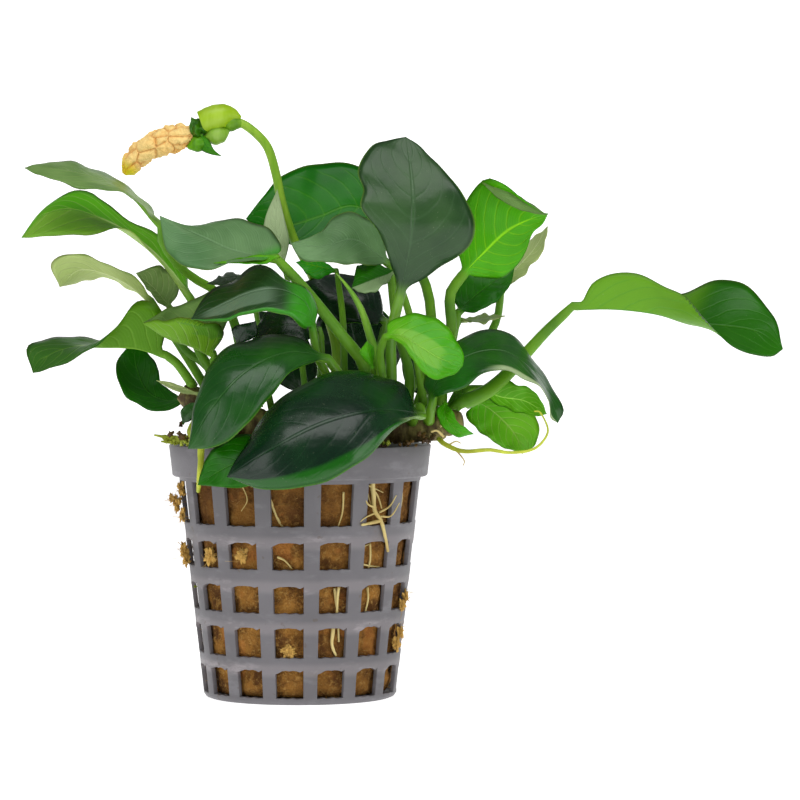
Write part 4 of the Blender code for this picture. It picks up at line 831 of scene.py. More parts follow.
def wool_finish(name, settings, loose=0.0):
    """Golden brown rock wool: matted fibres over hollows darkened with painted shade, darker towards the top;
    paler where it hangs loose.
    """
    skin = Finish(name, 0.95, Specular_IOR_Level=0.15)
    clump = skin.noise(190.0, 6.0, 0.72)
    thread = skin.noise(1100.0, 5.0, 0.75)
    grain = skin.noise(2400.0, 3.0, 0.7)
    damp = skin.noise(40.0, 3.0).step(0.45, 0.62)
    high = skin.height().step(0.022, 0.042)
    # Painted shade: the dark colour fills the low places of the bump made from the same clumps below
    base = skin.blend(clump.step(0.36, 0.60), tuple(settings.wool_shade), tuple(settings.wool_colour))
    base = skin.blend(thread.step(0.50, 0.66) * 0.6, base, tuple(settings.wool_light))
    # Darker in damp patches, and darker towards the top of the plug
    base = skin.blend(damp * 0.35 + high * 0.55, base, tuple(settings.wool_shade))
    base = skin.blend(grain.step(0.58, 0.72) * 0.35, base, (0.09, 0.045, 0.012))
    base = skin.blend(skin.noise(120.0, 2.0).step(0.60, 0.66) * 0.4, base, (0.50, 0.18, 0.04))
    base = skin.blend(loose, base, (0.82, 0.50, 0.13))
    return skin.finish(base, None, skin.bump(clump * 1.5 + thread + grain * 0.5, 0.0007, 1.0))


def rhizome_finish():
    skin = Finish("rhizome_skin", Specular_IOR_Level=0.35)
    bark = skin.noise(300.0, 5.0, 0.65)
    ring = skin.noise(260.0, 2.0, 0.5, skin.place((3.0, 0.4, 0.4)))
    base = skin.blend(bark.step(0.38, 0.62), (0.06, 0.035, 0.012), (0.20, 0.17, 0.05))
    base = skin.blend(ring.step(0.55, 0.7) * 0.6, base, (0.03, 0.018, 0.008))
    return skin.finish(base, 0.62 + bark * 0.3, skin.bump(bark + ring, 0.0005, 0.8))


def spike_finish():
    """Cream and peach flower lumps with fine grains, yellow-green at the tip."""
    skin = Finish("flower_spike", 0.6, Specular_IOR_Level=0.3)
    along = skin.attribute("along")
    cleft = skin.attribute("cleft")
    blush = skin.noise(210.0, 3.0)
    grain = skin.cells(3000.0)
    base = skin.blend(blush.step(0.50, 0.70), tint(255, 222, 146), tint(244, 186, 100))
    base = skin.blend(grain.step(0.15, 0.55) * 0.4, base, tint(236, 190, 110))
    base = skin.blend(along.step(0.78, 0.96), base, tint(222, 206, 10))
    base = skin.blend(cleft * 0.6, base, tint(210, 130, 52))
    normal = skin.bump(grain * -1.0, 0.00018, 0.8)
    return skin.finish(base, 0.55 + grain * 0.2, normal)


def root_finish(name, light, shade):
    skin = Finish(name, Specular_IOR_Level=0.4)
    blotch = skin.noise(180.0, 4.0)
    fine = skin.noise(1600.0, 3.0)
    colour = skin.blend(blotch.step(0.38, 0.64), light, shade)
    return skin.finish(colour, 0.5 + fine * 0.2, skin.bump(blotch + fine * 0.4, 0.0002, 0.6))


def unit(vector):
    return vector / max(np.linalg.norm(vector), 1e-9)


def ease(value, low, high):
    share = np.clip((value - low) / (high - low), 0.0, 1.0)
    return share * share * (3.0 - 2.0 * share)


def rotate_to(vector, start, end):
    """The vector turned by the smallest turn that takes direction start to direction end."""
    axis = np.cross(start, end)
    cosine = float(np.clip(np.dot(start, end), -0.9999, 1.0))
    return vector * cosine + np.cross(axis, vector) + axis * np.dot(axis, vector) / (1.0 + cosine)


def spread(values, count):
    """Count values evenly spaced through the given ones."""
    return np.interp(np.linspace(0, 1, count), np.linspace(0, 1, len(values)), values)


def smooth_line(points, count):
    """Count points evenly spaced along a smooth line through the given points."""
    given = [np.array(point, dtype=float) for point in points]
    ends = [2 * given[0] - given[1]] + given + [2 * given[-1] - given[-2]]
    fine = [given[0]]
    for before, start, end, after in zip(ends, ends[1:], ends[2:], ends[3:]):
        length = np.linalg.norm(end - start)
        slope_in = (end - before) * length / (np.linalg.norm(start - before) + length)
        slope_out = (after - start) * length / (np.linalg.norm(after - end) + length)
        for step in range(1, 13):
            t = step / 12
            fine.append(start * (2 * t ** 3 - 3 * t ** 2 + 1) + end * (3 * t ** 2 - 2 * t ** 3)
                        + slope_in * (t ** 3 - 2 * t ** 2 + t) + slope_out * (t ** 3 - t ** 2))
    fine = np.array(fine)
    reach = np.concatenate([[0.0], np.cumsum(np.linalg.norm(np.diff(fine, axis=0), axis=1))])
    places = np.linspace(0.0, reach[-1], count)
    return np.column_stack([np.interp(places, reach, fine[:, axis]) for axis in range(3)])


def tangents(line):
    return np.array([unit(direction) for direction in np.gradient(line, axis=0)])


def rhizome_centre(x):
    line = smooth_line(RHIZOME_LINE, 60)
    return np.array([x, np.interp(x, line[:, 0], line[:, 1]), np.interp(x, line[:, 0], line[:, 2])])


def root_start(root):
    """The point where a stalk leaves the rhizome, and the direction it leaves in."""
    x, turn = root
    direction = np.array([0.0, math.sin(math.radians(turn)), math.cos(math.radians(turn))])
    return rhizome_centre(x) + direction * (RHIZOME_RADIUS + ROOT_GAP), direction


def wall_way(angle):
    """The direction out of the pot's axis at an angle in degrees from the front."""
    turn = math.radians(angle - 90.0)
    return Vector((math.cos(turn), math.sin(turn), 0.0))


def skin_rings(rings, values=None):
    """A closed body over rings of points: a grid is rolled into a tube, welded and closed."""
    rows, columns = len(rings) - 1, len(rings[0])
    body = bmesh.new()
    layers = {name: body.verts.layers.float.new(name) for name in (values or {})}
    bmesh.ops.create_grid(body, x_segments=columns, y_segments=rows, size=1.0)
    for vert in body.verts:
        column = round((vert.co.x + 1.0) * 0.5 * columns) % columns
        row = round((vert.co.y + 1.0) * 0.5 * rows)
        vert.co = Vector(rings[row][column]) * MM
        for name, layer in layers.items():
            vert[layer] = float(values[name][row][column])
    bmesh.ops.remove_doubles(body, verts=body.verts, dist=SAME_PLACE)
    open_edges = [edge for edge in body.edges if edge.is_boundary]
    bmesh.ops.holes_fill(body, edges=open_edges, sides=0)
    bmesh.ops.recalc_face_normals(body, faces=body.faces)
    return body


def add_strand(body, strand):
    """Put a finished strand into a body of many."""
    mesh = bpy.data.meshes.new("strand")
    strand.to_mesh(mesh)
    strand.free()
    body.from_mesh(mesh)
    bpy.data.meshes.remove(mesh)


def add_object(name, body, material):
    """Turn a finished body into a smooth object of one material."""
    mesh = bpy.data.meshes.new(name)
    body.to_mesh(mesh)
    body.free()
    for face in mesh.polygons:
        face.use_smooth = True
    mesh.materials.append(material)
    item = bpy.data.objects.new(name, mesh)
    bpy.context.scene.collection.objects.link(item)
    return item


def add_piece(name, body, material, stands_for=()):
    """Turn a finished body into a piece that rides on the plant."""
    piece = add_object(name, body, material)
    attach(piece, "root")
    if stands_for:
        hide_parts(*stands_for)
    return piece


def ring_frames(line, first_up, first_heading=None):
    """For each point of a line its direction and an up that turns with it as little as it can."""
    heading = tangents(line)
    if first_heading is not None:
        heading[0] = first_heading
    ups = [unit(first_up - heading[0] * np.dot(first_up, heading[0]))]
    for before, ahead in zip(heading, heading[1:]):
        ups.append(unit(rotate_to(ups[-1], before, ahead)))
    return heading, ups


def tube(line, radii, count, first_heading=None, knobs=0.0, seed=0):
    """Rings of a round tube along a line, a little uneven where knobs is above 0."""
    runs_back = abs(line[1][1] - line[0][1]) >= 0.8
    first_up = np.array([0.0, 0.0, 1.0] if runs_back else [0.0, 1.0, 0.0])
    heading, ups = ring_frames(line, first_up, first_heading)
    rings = []
    for place, ahead, up, radius in zip(line, heading, ups, radii):
        side = np.cross(ahead, up)
        ring = []
        for step in range(count):
            turn = TURN * step / count
            out = up * math.cos(turn) - side * math.sin(turn)
            bulge = 1.0 + knobs * noise.noise(Vector((place + out * radius) * 0.9) + Vector((seed, 0, 0)))
            ring.append(place + out * radius * bulge)
        rings.append(ring)
    return rings


def blade_point(mid, left, right, across, crease):
    """A point of a blade's middle sheet: across is -1 at the left margin and 1 at the right one."""
    curved = mid + 0.5 * (right - left) * across + (0.5 * (left + right) - mid) * across ** 2
    margin = right if across > 0 else left
    straight = mid + (margin - mid) * abs(across)
    return curved + (straight - curved) * crease


def leaf_body(name, spec, settings, detail=1.0):
    """One leaf: a round stalk that widens into a thin veined blade with a wavy margin."""
    half = max(8, int(12 * detail))
    blade_rows = max(18, int(34 * detail))
    stalk_rows = 14 if "root" in spec else 0
    seed = sum(ord(letter) for letter in name) % 97
    mid = smooth_line(spec["mid"], blade_rows + 1)
    left = smooth_line([spec["mid"][0]] + spec["left"] + [spec["mid"][-1]], blade_rows + 1)
    right = smooth_line([spec["mid"][0]] + spec["right"] + [spec["mid"][-1]], blade_rows + 1)
    ahead = tangents(mid)
    faces = np.array([unit(np.cross(right[k] - left[k], ahead[k])) for k in range(1, blade_rows)])
    faces = np.vstack([faces[:1], faces, faces[-1:]])
    turns = np.linspace(0.0, TURN, 2 * half, endpoint=False)
    across = [-1.0 + 2.0 * k / half for k in range(half)] + [1.0 - 2.0 * k / half for k in range(half)]
    top = [0.0] + [1.0] * (half - 1) + [0.0] + [-1.0] * (half - 1)
    rings, values = [], {"across": [], "along": [], "side": []}
    radius = spec["radii"][1] if "root" in spec else 0.45
    heading_end = ahead[0]
    if stalk_rows:
        start, direction = root_start(spec["root"])
        line = smooth_line([start] + spec["stalk"] + [spec["mid"][0]], stalk_rows + 1)
        heading = tangents(line)
        heading[0] = direction
        heading_end = unit(heading[-1] + ahead[0])
        heading[-1] = heading_end
        up = unit(faces[0] - heading_end * np.dot(faces[0], heading_end))
        ups = [up]
        for late, early in zip(heading[:0:-1], heading[-2::-1]):
            ups.append(unit(rotate_to(ups[-1], late, early)))
        ups.reverse()
        radii = np.interp(np.linspace(0, 1, stalk_rows + 1), [0, 0.12, 1.0],
                          [spec["radii"][0] * 1.15, spec["radii"][0], spec["radii"][1]])
        for row in range(stalk_rows):
            side = np.cross(heading[row], ups[row])
            rings.append([line[row] + radii[row] * (ups[row] * math.sin(t) - side * math.cos(t))
                          for t in turns])
            values["across"].append([0.0] * (2 * half))
            values["along"].append([-1.0 + row / stalk_rows] * (2 * half))
            values["side"].append(top)
    for row in range(blade_rows + 1):
        share = row / blade_rows
        width = np.linalg.norm(right[row] - left[row])
        open_share = ease(share, 0.0, 0.13)
        up = unit(faces[row])
        side = np.cross(ahead[row] if row else heading_end, up)
        thick = settings.half_thickness * (1.0 - 0.45 * share)
        keel = radius * 0.85 * (1.0 - share) ** 1.6
        ring = []
        for k, t in enumerate(turns):
            u = across[k]
            flat = blade_point(mid[row], left[row], right[row], u, settings.crease)
            wave = settings.margin_wave * abs(u) ** 2.5 * min(1.0, width / 8.0) * (
                math.sin(share * 21.0 + seed + (2.0 if u > 0 else 0.0))
                + 0.6 * math.sin(share * 37.0 + seed * 2.0 + u))
            swept = share - abs(u) * settings.vein_slope - u * u * settings.vein_curl
            quilt = settings.quilting * (1.0 - abs(u)) * abs(u) * 4.0 * math.cos(
                TURN * settings.vein_count * swept)
            body_depth = thick * math.sqrt(max(0.0, 1.0 - u * u))
            rib = keel * math.exp(-(u * width * 0.5 / max(radius, 0.3)) ** 2)
            if top[k] > 0:
                offset = body_depth - 0.35 * rib * (1.0 if share > 0.15 else 0.0)
            elif top[k] < 0:
                offset = -body_depth - rib
            else:
                offset = 0.0
            flat = flat + up * (offset + wave + quilt * min(1.0, width / 10.0))
            round_point = mid[row] + radius * (up * math.sin(t) - side * math.cos(t))
            ring.append(round_point + (flat - round_point) * open_share)
        rings.append(ring)
        values["across"].append(across)
        values["along"].append([max(share, 0.001)] * (2 * half))
        values["side"].append(top)
    return skin_rings(rings, values)


def pot_radius(height):
    share = (height - FOOT_BEVEL) / (LEDGE_HEIGHT - FOOT_BEVEL)
    return WALL_LOW_RADIUS + (WALL_TOP_RADIUS - WALL_LOW_RADIUS) * share


def in_window(height, angle_share):
    """Whether a place on the wall, by height and share of a bar's spacing, is open."""
    return any(low < height < high for high, low in WINDOW_ROWS) and angle_share > 0


class AnubiasPotSettings(bpy.types.PropertyGroup):
    """Sizes and colours of the net pot and its rock wool."""

    skin: bpy.props.FloatProperty(
        name="Skin", description="Thickness of the pot's wall", default=0.0009, unit="LENGTH")
    bar_width: bpy.props.FloatProperty(
        name="Bar width", description="Width of the upright bars", default=0.0035, unit="LENGTH")
    scallop: bpy.props.FloatProperty(
        name="Scallop", description="Depth of the moulding lobes in windows",
        default=0.0007, unit="LENGTH")
    plastic_colour: bpy.props.FloatVectorProperty(
        name="Plastic", description="Main plastic colour", default=(0.142, 0.135, 0.147), subtype="COLOR")
    plastic_shade: bpy.props.FloatVectorProperty(
        name="Plastic shade", description="Mottled plastic colour",
        default=(0.114, 0.108, 0.117), subtype="COLOR")
    wool_colour: bpy.props.FloatVectorProperty(
        name="Wool", description="Main rock wool colour", default=(0.40, 0.185, 0.038), subtype="COLOR")
    wool_light: bpy.props.FloatVectorProperty(
        name="Wool light", description="Colour of the loose fibres",
        default=(0.62, 0.36, 0.10), subtype="COLOR")
    # Colour of the painted shade in the wool's hollows, also used for its damp patches and its darker top
    wool_shade: bpy.props.FloatVectorProperty(
        name="Wool shade", description="Colour of damp hollows",
        default=(0.11, 0.045, 0.012), subtype="COLOR")


class AnubiasLeafSettings(bpy.types.PropertyGroup):
    """Shape and colours shared by all leaves."""

    half_thickness: bpy.props.FloatProperty(
         name="Half thickness", description="Half the blade's thickness in millimetres", default=0.22)
    crease: bpy.props.FloatProperty(
        name="Crease", description="How sharply a blade folds at its midrib",
        default=0.35, subtype="FACTOR")
    margin_wave: bpy.props.FloatProperty(
        name="Margin wave", description="Waves of the margin in millimetres", default=0.28)
    quilting: bpy.props.FloatProperty(
        name="Quilting", description="Rise between side veins in millimetres", default=0.05)
    vein_count: bpy.props.FloatProperty(
        name="Veins", description="Side veins along a blade", default=8.0)
    vein_slope: bpy.props.FloatProperty(
        name="Vein slope", description="Sweep of veins towards the tip", default=0.16)
    vein_curl: bpy.props.FloatProperty(
        name="Vein curl", description="Further sweep near the margin", default=0.22)
    stalk_colour: bpy.props.FloatVectorProperty(
        name="Stalk", description="Colour of the stalks", default=(0.13, 0.31, 0.016), subtype="COLOR")
    stalk_shade: bpy.props.FloatVectorProperty(
        name="Stalk shade", description="Darker streaks of the stalks",
        default=(0.07, 0.20, 0.014), subtype="COLOR")


class AnubiasStageSettings(bpy.types.PropertyGroup):
    """The floor, the lights and the camera."""

    key_power: bpy.props.FloatProperty(
        name="Key power", description="Power of the overhead softbox", default=3.8, unit="POWER")
    fill_power: bpy.props.FloatProperty(
        name="Fill power", description="Power of each side softbox", default=1.6, unit="POWER")
    sky: bpy.props.FloatProperty(
        name="Sky", description="Strength of the light from all round", default=0.18)
    floor_colour: bpy.props.FloatVectorProperty(
        name="Floor", description="Colour of the floor and backdrop",
        default=(0.86, 0.86, 0.86), subtype="COLOR")
    floor_glow: bpy.props.FloatProperty(
        name="Floor glow", description="Light given off by the backdrop", default=0.86)
    camera_distance: bpy.props.FloatProperty(
        name="Camera distance", description="From the plant to the lens", default=0.78, unit="LENGTH")
    camera_height: bpy.props.FloatProperty(
        name="Camera height", description="Height of the lens", default=0.081, unit="LENGTH")


def light_panel(name, place, size, power):
    lamp = bpy.data.lights.new(name, "AREA")
    lamp.shape = "RECTANGLE"
    lamp.size, lamp.size_y = size
    lamp.energy = power
    item = bpy.data.objects.new(name, lamp)
    item.location = place
    item.rotation_euler = (Vector(LIGHT_TARGET) - Vector(place)).to_track_quat("-Z", "Y").to_euler()
    bpy.context.scene.collection.objects.link(item)


class OBJECT_OT_anubias_stage(bpy.types.Operator):
    """Lay the pale floor and backdrop, and set the soft lights and the camera."""

    bl_idname = "object.anubias_stage"
    bl_label = "Stage"

    def execute(self, context):
        settings = context.scene.anubias_stage
        self.backdrop(settings)
        light_panel(*KEY_SOFTBOX, settings.key_power)
        for softbox in FILL_SOFTBOXES:
            light_panel(*softbox, settings.fill_power)
        world = bpy.data.worlds.new("studio")
        world.use_nodes = True
        sky = world.node_tree.nodes["Background"]
        sky.inputs["Color"].default_value = (1.0, 1.0, 1.0, 1.0)
        sky.inputs["Strength"].default_value = settings.sky
        context.scene.world = world
        context.scene.view_settings.view_transform = "Standard"
        lens = bpy.data.cameras.new("camera")
        lens.sensor_width = SENSOR_WIDTH_MM
        lens.lens = SENSOR_WIDTH_MM * settings.camera_distance / VIEW_WIDTH
        lens.clip_start = 0.05
        camera = bpy.data.objects.new("camera", lens)
        camera.location = (CAMERA_SIDE, -settings.camera_distance, settings.camera_height)
        camera.rotation_euler = (math.radians(90.0 - CAMERA_TILT), 0.0, 0.0)
        context.scene.collection.objects.link(camera)
        context.scene.camera = camera
        return {"FINISHED"}

    def backdrop(self, settings):
        """A floor that curves up into a low wall well behind the plant."""
        body = bmesh.new()
        bmesh.ops.create_grid(body, x_segments=2, y_segments=120, size=1.0)
        quarter = BACKDROP_CURVE * math.pi / 2
        length = FLOOR_BACK - FLOOR_FRONT + quarter + BACKDROP_HEIGHT
        for vert in body.verts:
            run = FLOOR_FRONT + (vert.co.y + 1.0) * 0.5 * length - FLOOR_BACK
            turn = min(max(0.0, run) / BACKDROP_CURVE, math.pi / 2)
            vert.co = Vector((vert.co.x * FLOOR_HALF_WIDTH,
                              FLOOR_BACK + min(run, 0.0) + BACKDROP_CURVE * math.sin(turn),
                              BACKDROP_CURVE * (1.0 - math.cos(turn)) + max(0.0, run - quarter)))
        bmesh.ops.recalc_face_normals(body, faces=body.faces)
        paper = Finish("backdrop_paper", 0.9, Specular_IOR_Level=0.1, Emission_Color=(1.0, 1.0, 1.0, 1.0),
                       Emission_Strength=settings.floor_glow)
        add_object("backdrop", body, paper.finish(tuple(settings.floor_colour)))


class OBJECT_OT_anubias_pot(bpy.types.Operator):
    """Mould the net pot: tapered wall with five rows of windows, ledge, rim and foot."""

    bl_idname = "object.anubias_pot"
    bl_label = "Net pot"

    def execute(self, context):
        settings = context.scene.anubias_pot
        edges = sorted({edge for row in WINDOW_ROWS for edge in row})
        heights = [FOOT_BEVEL] + [h for low, high in zip(edges, edges[1:])
                                  for h in np.linspace(low, high, 5)[:-1]] + [edges[-1]]
        profile = [(0.0, 0.0), (7.0, 0.0), (14.0, 0.0), (FOOT_RADIUS - 0.3, 0.0), (FOOT_RADIUS + 0.45, 0.28)]
        profile += [(pot_radius(height), height) for height in heights]
        profile += [(WALL_TOP_RADIUS, LEDGE_HEIGHT), (RIM_LOW_RADIUS - 0.35, LEDGE_HEIGHT),
                    (RIM_LOW_RADIUS, LEDGE_HEIGHT + 0.3), (0.5 * (RIM_LOW_RADIUS + RIM_TOP_RADIUS), 49.8),
                    (RIM_TOP_RADIUS, POT_HEIGHT - 0.25), (RIM_TOP_RADIUS - 0.15, POT_HEIGHT)]
        period = TURN / BARS
        bar = settings.bar_width / MM / WALL_TOP_RADIUS
        angles = []
        for index in range(BARS):
            middle = math.radians(BAR_TURN - 90.0) + index * period
            angles += [(middle - 0.5 * bar, -1), (middle, -1)]
            angles += [(middle + 0.5 * bar + (period - bar) * k / WINDOW_COLUMNS, k)
                       for k in range(WINDOW_COLUMNS)]
        columns, rows = len(angles), len(profile) - 1
        per_bar = columns // BARS
        chance = random.Random(4)
        lobe = {}
        for row in range(len(WINDOW_ROWS)):
            for index in range(BARS):
                lobe[(row, index)] = [chance.uniform(0.55, 1.3), chance.uniform(0.55, 1.3),
                                      chance.uniform(-0.3, 0.5)]
        body = bmesh.new()
        bmesh.ops.create_grid(body, x_segments=columns, y_segments=rows, size=1.0)
        open_faces = []
        for face in body.faces:
            centre = face.calc_center_median()
            column = int((centre.x + 1.0) * 0.5 * columns) % columns
            row = min(rows - 1, int((centre.y + 1.0) * 0.5 * rows))
            height = 0.5 * (profile[row][1] + profile[row + 1][1])
            if in_window(height, column % per_bar - 1):
                open_faces.append(face)
        for vert in body.verts:
            column = round((vert.co.x + 1.0) * 0.5 * columns) % columns
            row = round((vert.co.y + 1.0) * 0.5 * rows)
            radius, height = profile[row]
            angle, k = angles[column]
            for index, (high, low) in enumerate(WINDOW_ROWS):
                if abs(height - high) < SAME_HEIGHT and k >= 0 and index > 0:
                    first, last, swell = lobe[(index, column // per_bar)]
                    across = k / WINDOW_COLUMNS
                    corner = first * math.exp(-(across / 0.16) ** 2)
                    corner += last * math.exp(-((1 - across) / 0.16) ** 2)
                    height -= settings.scallop / MM * (corner + swell * math.sin(across * 9.4) ** 2 * 0.5)
                if abs(height - low) < SAME_HEIGHT and k > 0:
                    height += 0.12 * math.sin(k * 2.1 + index)
            vert.co = Vector((radius * math.cos(angle), radius * math.sin(angle), height)) * MM
        bmesh.ops.delete(body, geom=open_faces, context="FACES")
        bmesh.ops.remove_doubles(body, verts=body.verts, dist=SAME_PLACE)
        bmesh.ops.recalc_face_normals(body, faces=body.faces)
        pot = add_piece("pot", body, pot_finish(settings), ["net_pot"])
        skin = pot.modifiers.new("skin", "SOLIDIFY")
        skin.thickness = settings.skin
        skin.offset = -1.0
        skin.use_even_offset = True
        edge = pot.modifiers.new("soft_edges", "BEVEL")
        edge.width = EDGE_SOFTNESS * MM
        edge.segments = 2
        edge.limit_method = "ANGLE"
        edge.angle_limit = math.radians(NO_SOFTENING_UNDER)
        edge.harden_normals = False
        return {"FINISHED"}


class OBJECT_OT_anubias_wool(bpy.types.Operator):
    """Pack the rock wool plug, and pull tufts of it out through the windows."""

    bl_idname = "object.anubias_wool"
    bl_label = "Rock wool"

    def execute(self, context):
        settings = context.scene.anubias_pot
        self.plug(settings)
        self.tufts(settings)
        self.fibres(random.Random(12))
        return {"FINISHED"}

    def plug(self, settings):
        """The plug: a rough column that stays inside the wall."""
        rings = []
        for height in np.concatenate([np.linspace(1.5, 49.0, WOOL_RINGS), [49.8, 50.4]]):
            ring = []
            radius = pot_radius(min(height, WOOL_SHOULDER)) - WOOL_GAP
            radius -= 0.9 * max(0.0, height - WOOL_SHOULDER) + 0.5 * max(0.0, WOOL_FOOT - height)
            for step in range(WOOL_COLUMNS):
                turn = TURN * step / WOOL_COLUMNS
                out = Vector((math.cos(turn), math.sin(turn), 0.0))
                spot = out * radius + Vector((0.0, 0.0, height))
                rough = noise.fractal(spot * 0.22, 0.9, 2.1, 5) * 0.8 + noise.noise(spot * 1.3) * 0.35
                rough += noise.noise(Vector((spot.x * 3.0, spot.y * 3.0, spot.z * 1.2))) * 0.2
                ring.append(spot + out * max(-0.9, min(rough * 0.8, 0.5)))
            rings.append(ring)
        add_piece("wool_plug", skin_rings(rings), wool_finish("rock_wool", settings),
                  ["rock_wool"])

    def tufts(self, settings):
        """Soft lumps that stand out of the windows, flattened against the wall."""
        body = bmesh.new()
        for angle, height, reach, size in WOOL_TUFTS:
            out = wall_way(angle)
            middle = out * (pot_radius(height) + reach) + Vector((0.0, 0.0, height))
            ball = bmesh.ops.create_icosphere(body, subdivisions=5, radius=1.0)
            for vert in ball["verts"]:
                way = vert.co.normalized()
                bulk = 0.95 + 0.9 * noise.fractal(way * 1.6 + middle * 0.3, 0.7, 2.2, 6)
                bulk += 0.35 * noise.noise(way * 7.0 + middle) + 0.2 * noise.noise(way * 19.0 + middle)
                flat = out * way.dot(out) * 0.55
                vert.co = (middle + (way - flat) * size * max(0.25, bulk)) * MM
        add_piece("wool_tufts", body, wool_finish("rock_wool_tuft", settings, 0.9))

    def fibres(self, chance):
        """Loose single fibres that stand out of the plug and its tufts."""
        spots = []
        for angle, height, reach, size in WOOL_TUFTS:
            spots += [(angle + chance.gauss(0, 2.0), height + chance.gauss(0, size * 0.6),
                       pot_radius(height) + reach + chance.uniform(-0.5, size * 0.5), 1.6)
                      for _ in range(int(14 * size))]
        for high, low in WINDOW_ROWS:
            for bar in range(BARS):
                for _ in range(FIBRES_A_WINDOW):
                    angle = BAR_TURN + (bar + 0.5) * 360.0 / BARS + chance.uniform(-8.5, 8.5)
                    height = chance.uniform(low, high)
                    spots.append((angle, height, pot_radius(height) - 2.3, 1.0))
        body = bmesh.new()
        for angle, height, radius, length in spots:
            out = np.array(wall_way(angle))
            start = out * radius + np.array([0.0, 0.0, height])
            lean = np.array([chance.gauss(0, 1) for _ in range(3)])
            way = unit(lean + out * 0.35)
            curl = unit(np.array([chance.gauss(0, 1) for _ in range(3)]))
            reach = length * chance.uniform(0.6, 1.6)
            line = np.array([start + way * reach * t + curl * reach * 0.45 * t * t
                             for t in np.linspace(0.0, 1.0, len(FIBRE_RADII))])
            add_strand(body, skin_rings(tube(line, FIBRE_RADII, 3)))
        fibre = Finish("wool_fibre", 0.8, Specular_IOR_Level=0.2)
        shade = fibre.noise(300.0, 2.0)
        colour = fibre.blend(shade.step(0.35, 0.65), (0.70, 0.46, 0.16), (0.42, 0.24, 0.07))
        add_piece("wool_fibres", body, fibre.finish(colour))


class OBJECT_OT_anubias_rhizome(bpy.types.Operator):
    """Grow the knobbly rhizome with its rings of old leaf scars."""

    bl_idname = "object.anubias_rhizome"
    bl_label = "Rhizome"

    def execute(self, context):
        radii = []
        for share in np.linspace(0, 1, RHIZOME_RINGS):
            scar = abs(math.sin(math.pi * share * LEAF_SCARS))
            end = min(1.0, 0.55 + 6.0 * min(share, 1.0 - share))
            radii.append((RHIZOME_RADIUS - 0.45 * (1.0 - scar) ** 3) * end)
        body = skin_rings(tube(smooth_line(RHIZOME_LINE, RHIZOME_RINGS), radii, 40, knobs=0.07))
        add_piece("rhizome_stem", body, rhizome_finish(), ["rhizome"])
        return {"FINISHED"}


class OBJECT_OT_anubias_leaves(bpy.types.Operator):
    """Grow every leaf from the rhizome, each with its own stalk."""

    bl_idname = "object.anubias_leaves"
    bl_label = "Leaves"

    def execute(self, context):
        settings = context.scene.anubias_leaf
        for tone, names in LEAF_TONES.items():
            for name in names:
                detail = 1.5 if name in BIG_LEAVES else 1.0
                body = leaf_body(name, LEAVES[name], settings, detail)
                skin = leaf_finish(name, tone, settings)
                add_piece(name.replace("leaf_", "blade_"), body, skin, [name])
        for name, (tone, slot, spec) in FOLDS.items():
            body = leaf_body(name, spec, settings, 0.8)
            add_piece(name, body, leaf_finish(name, tone, settings))
        return {"FINISHED"}


class OBJECT_OT_anubias_spear(bpy.types.Operator):
    """Grow the rolled spear of the next leaf."""

    bl_idname = "object.anubias_spear"
    bl_label = "Leaf spear"

    def execute(self, context):
        start, direction = root_start(SPEAR_ROOT)
        line = smooth_line([start] + SPEAR_LINE, 40)
        body = skin_rings(tube(line, spread(SPEAR_RADII, 40), 18, direction, 0.05))
        material = stem_finish("spear_green", (0.20, 0.42, 0.03), (0.10, 0.28, 0.02))
        add_piece("rolled_leaf", body, material, ["leaf_spear"])
        return {"FINISHED"}


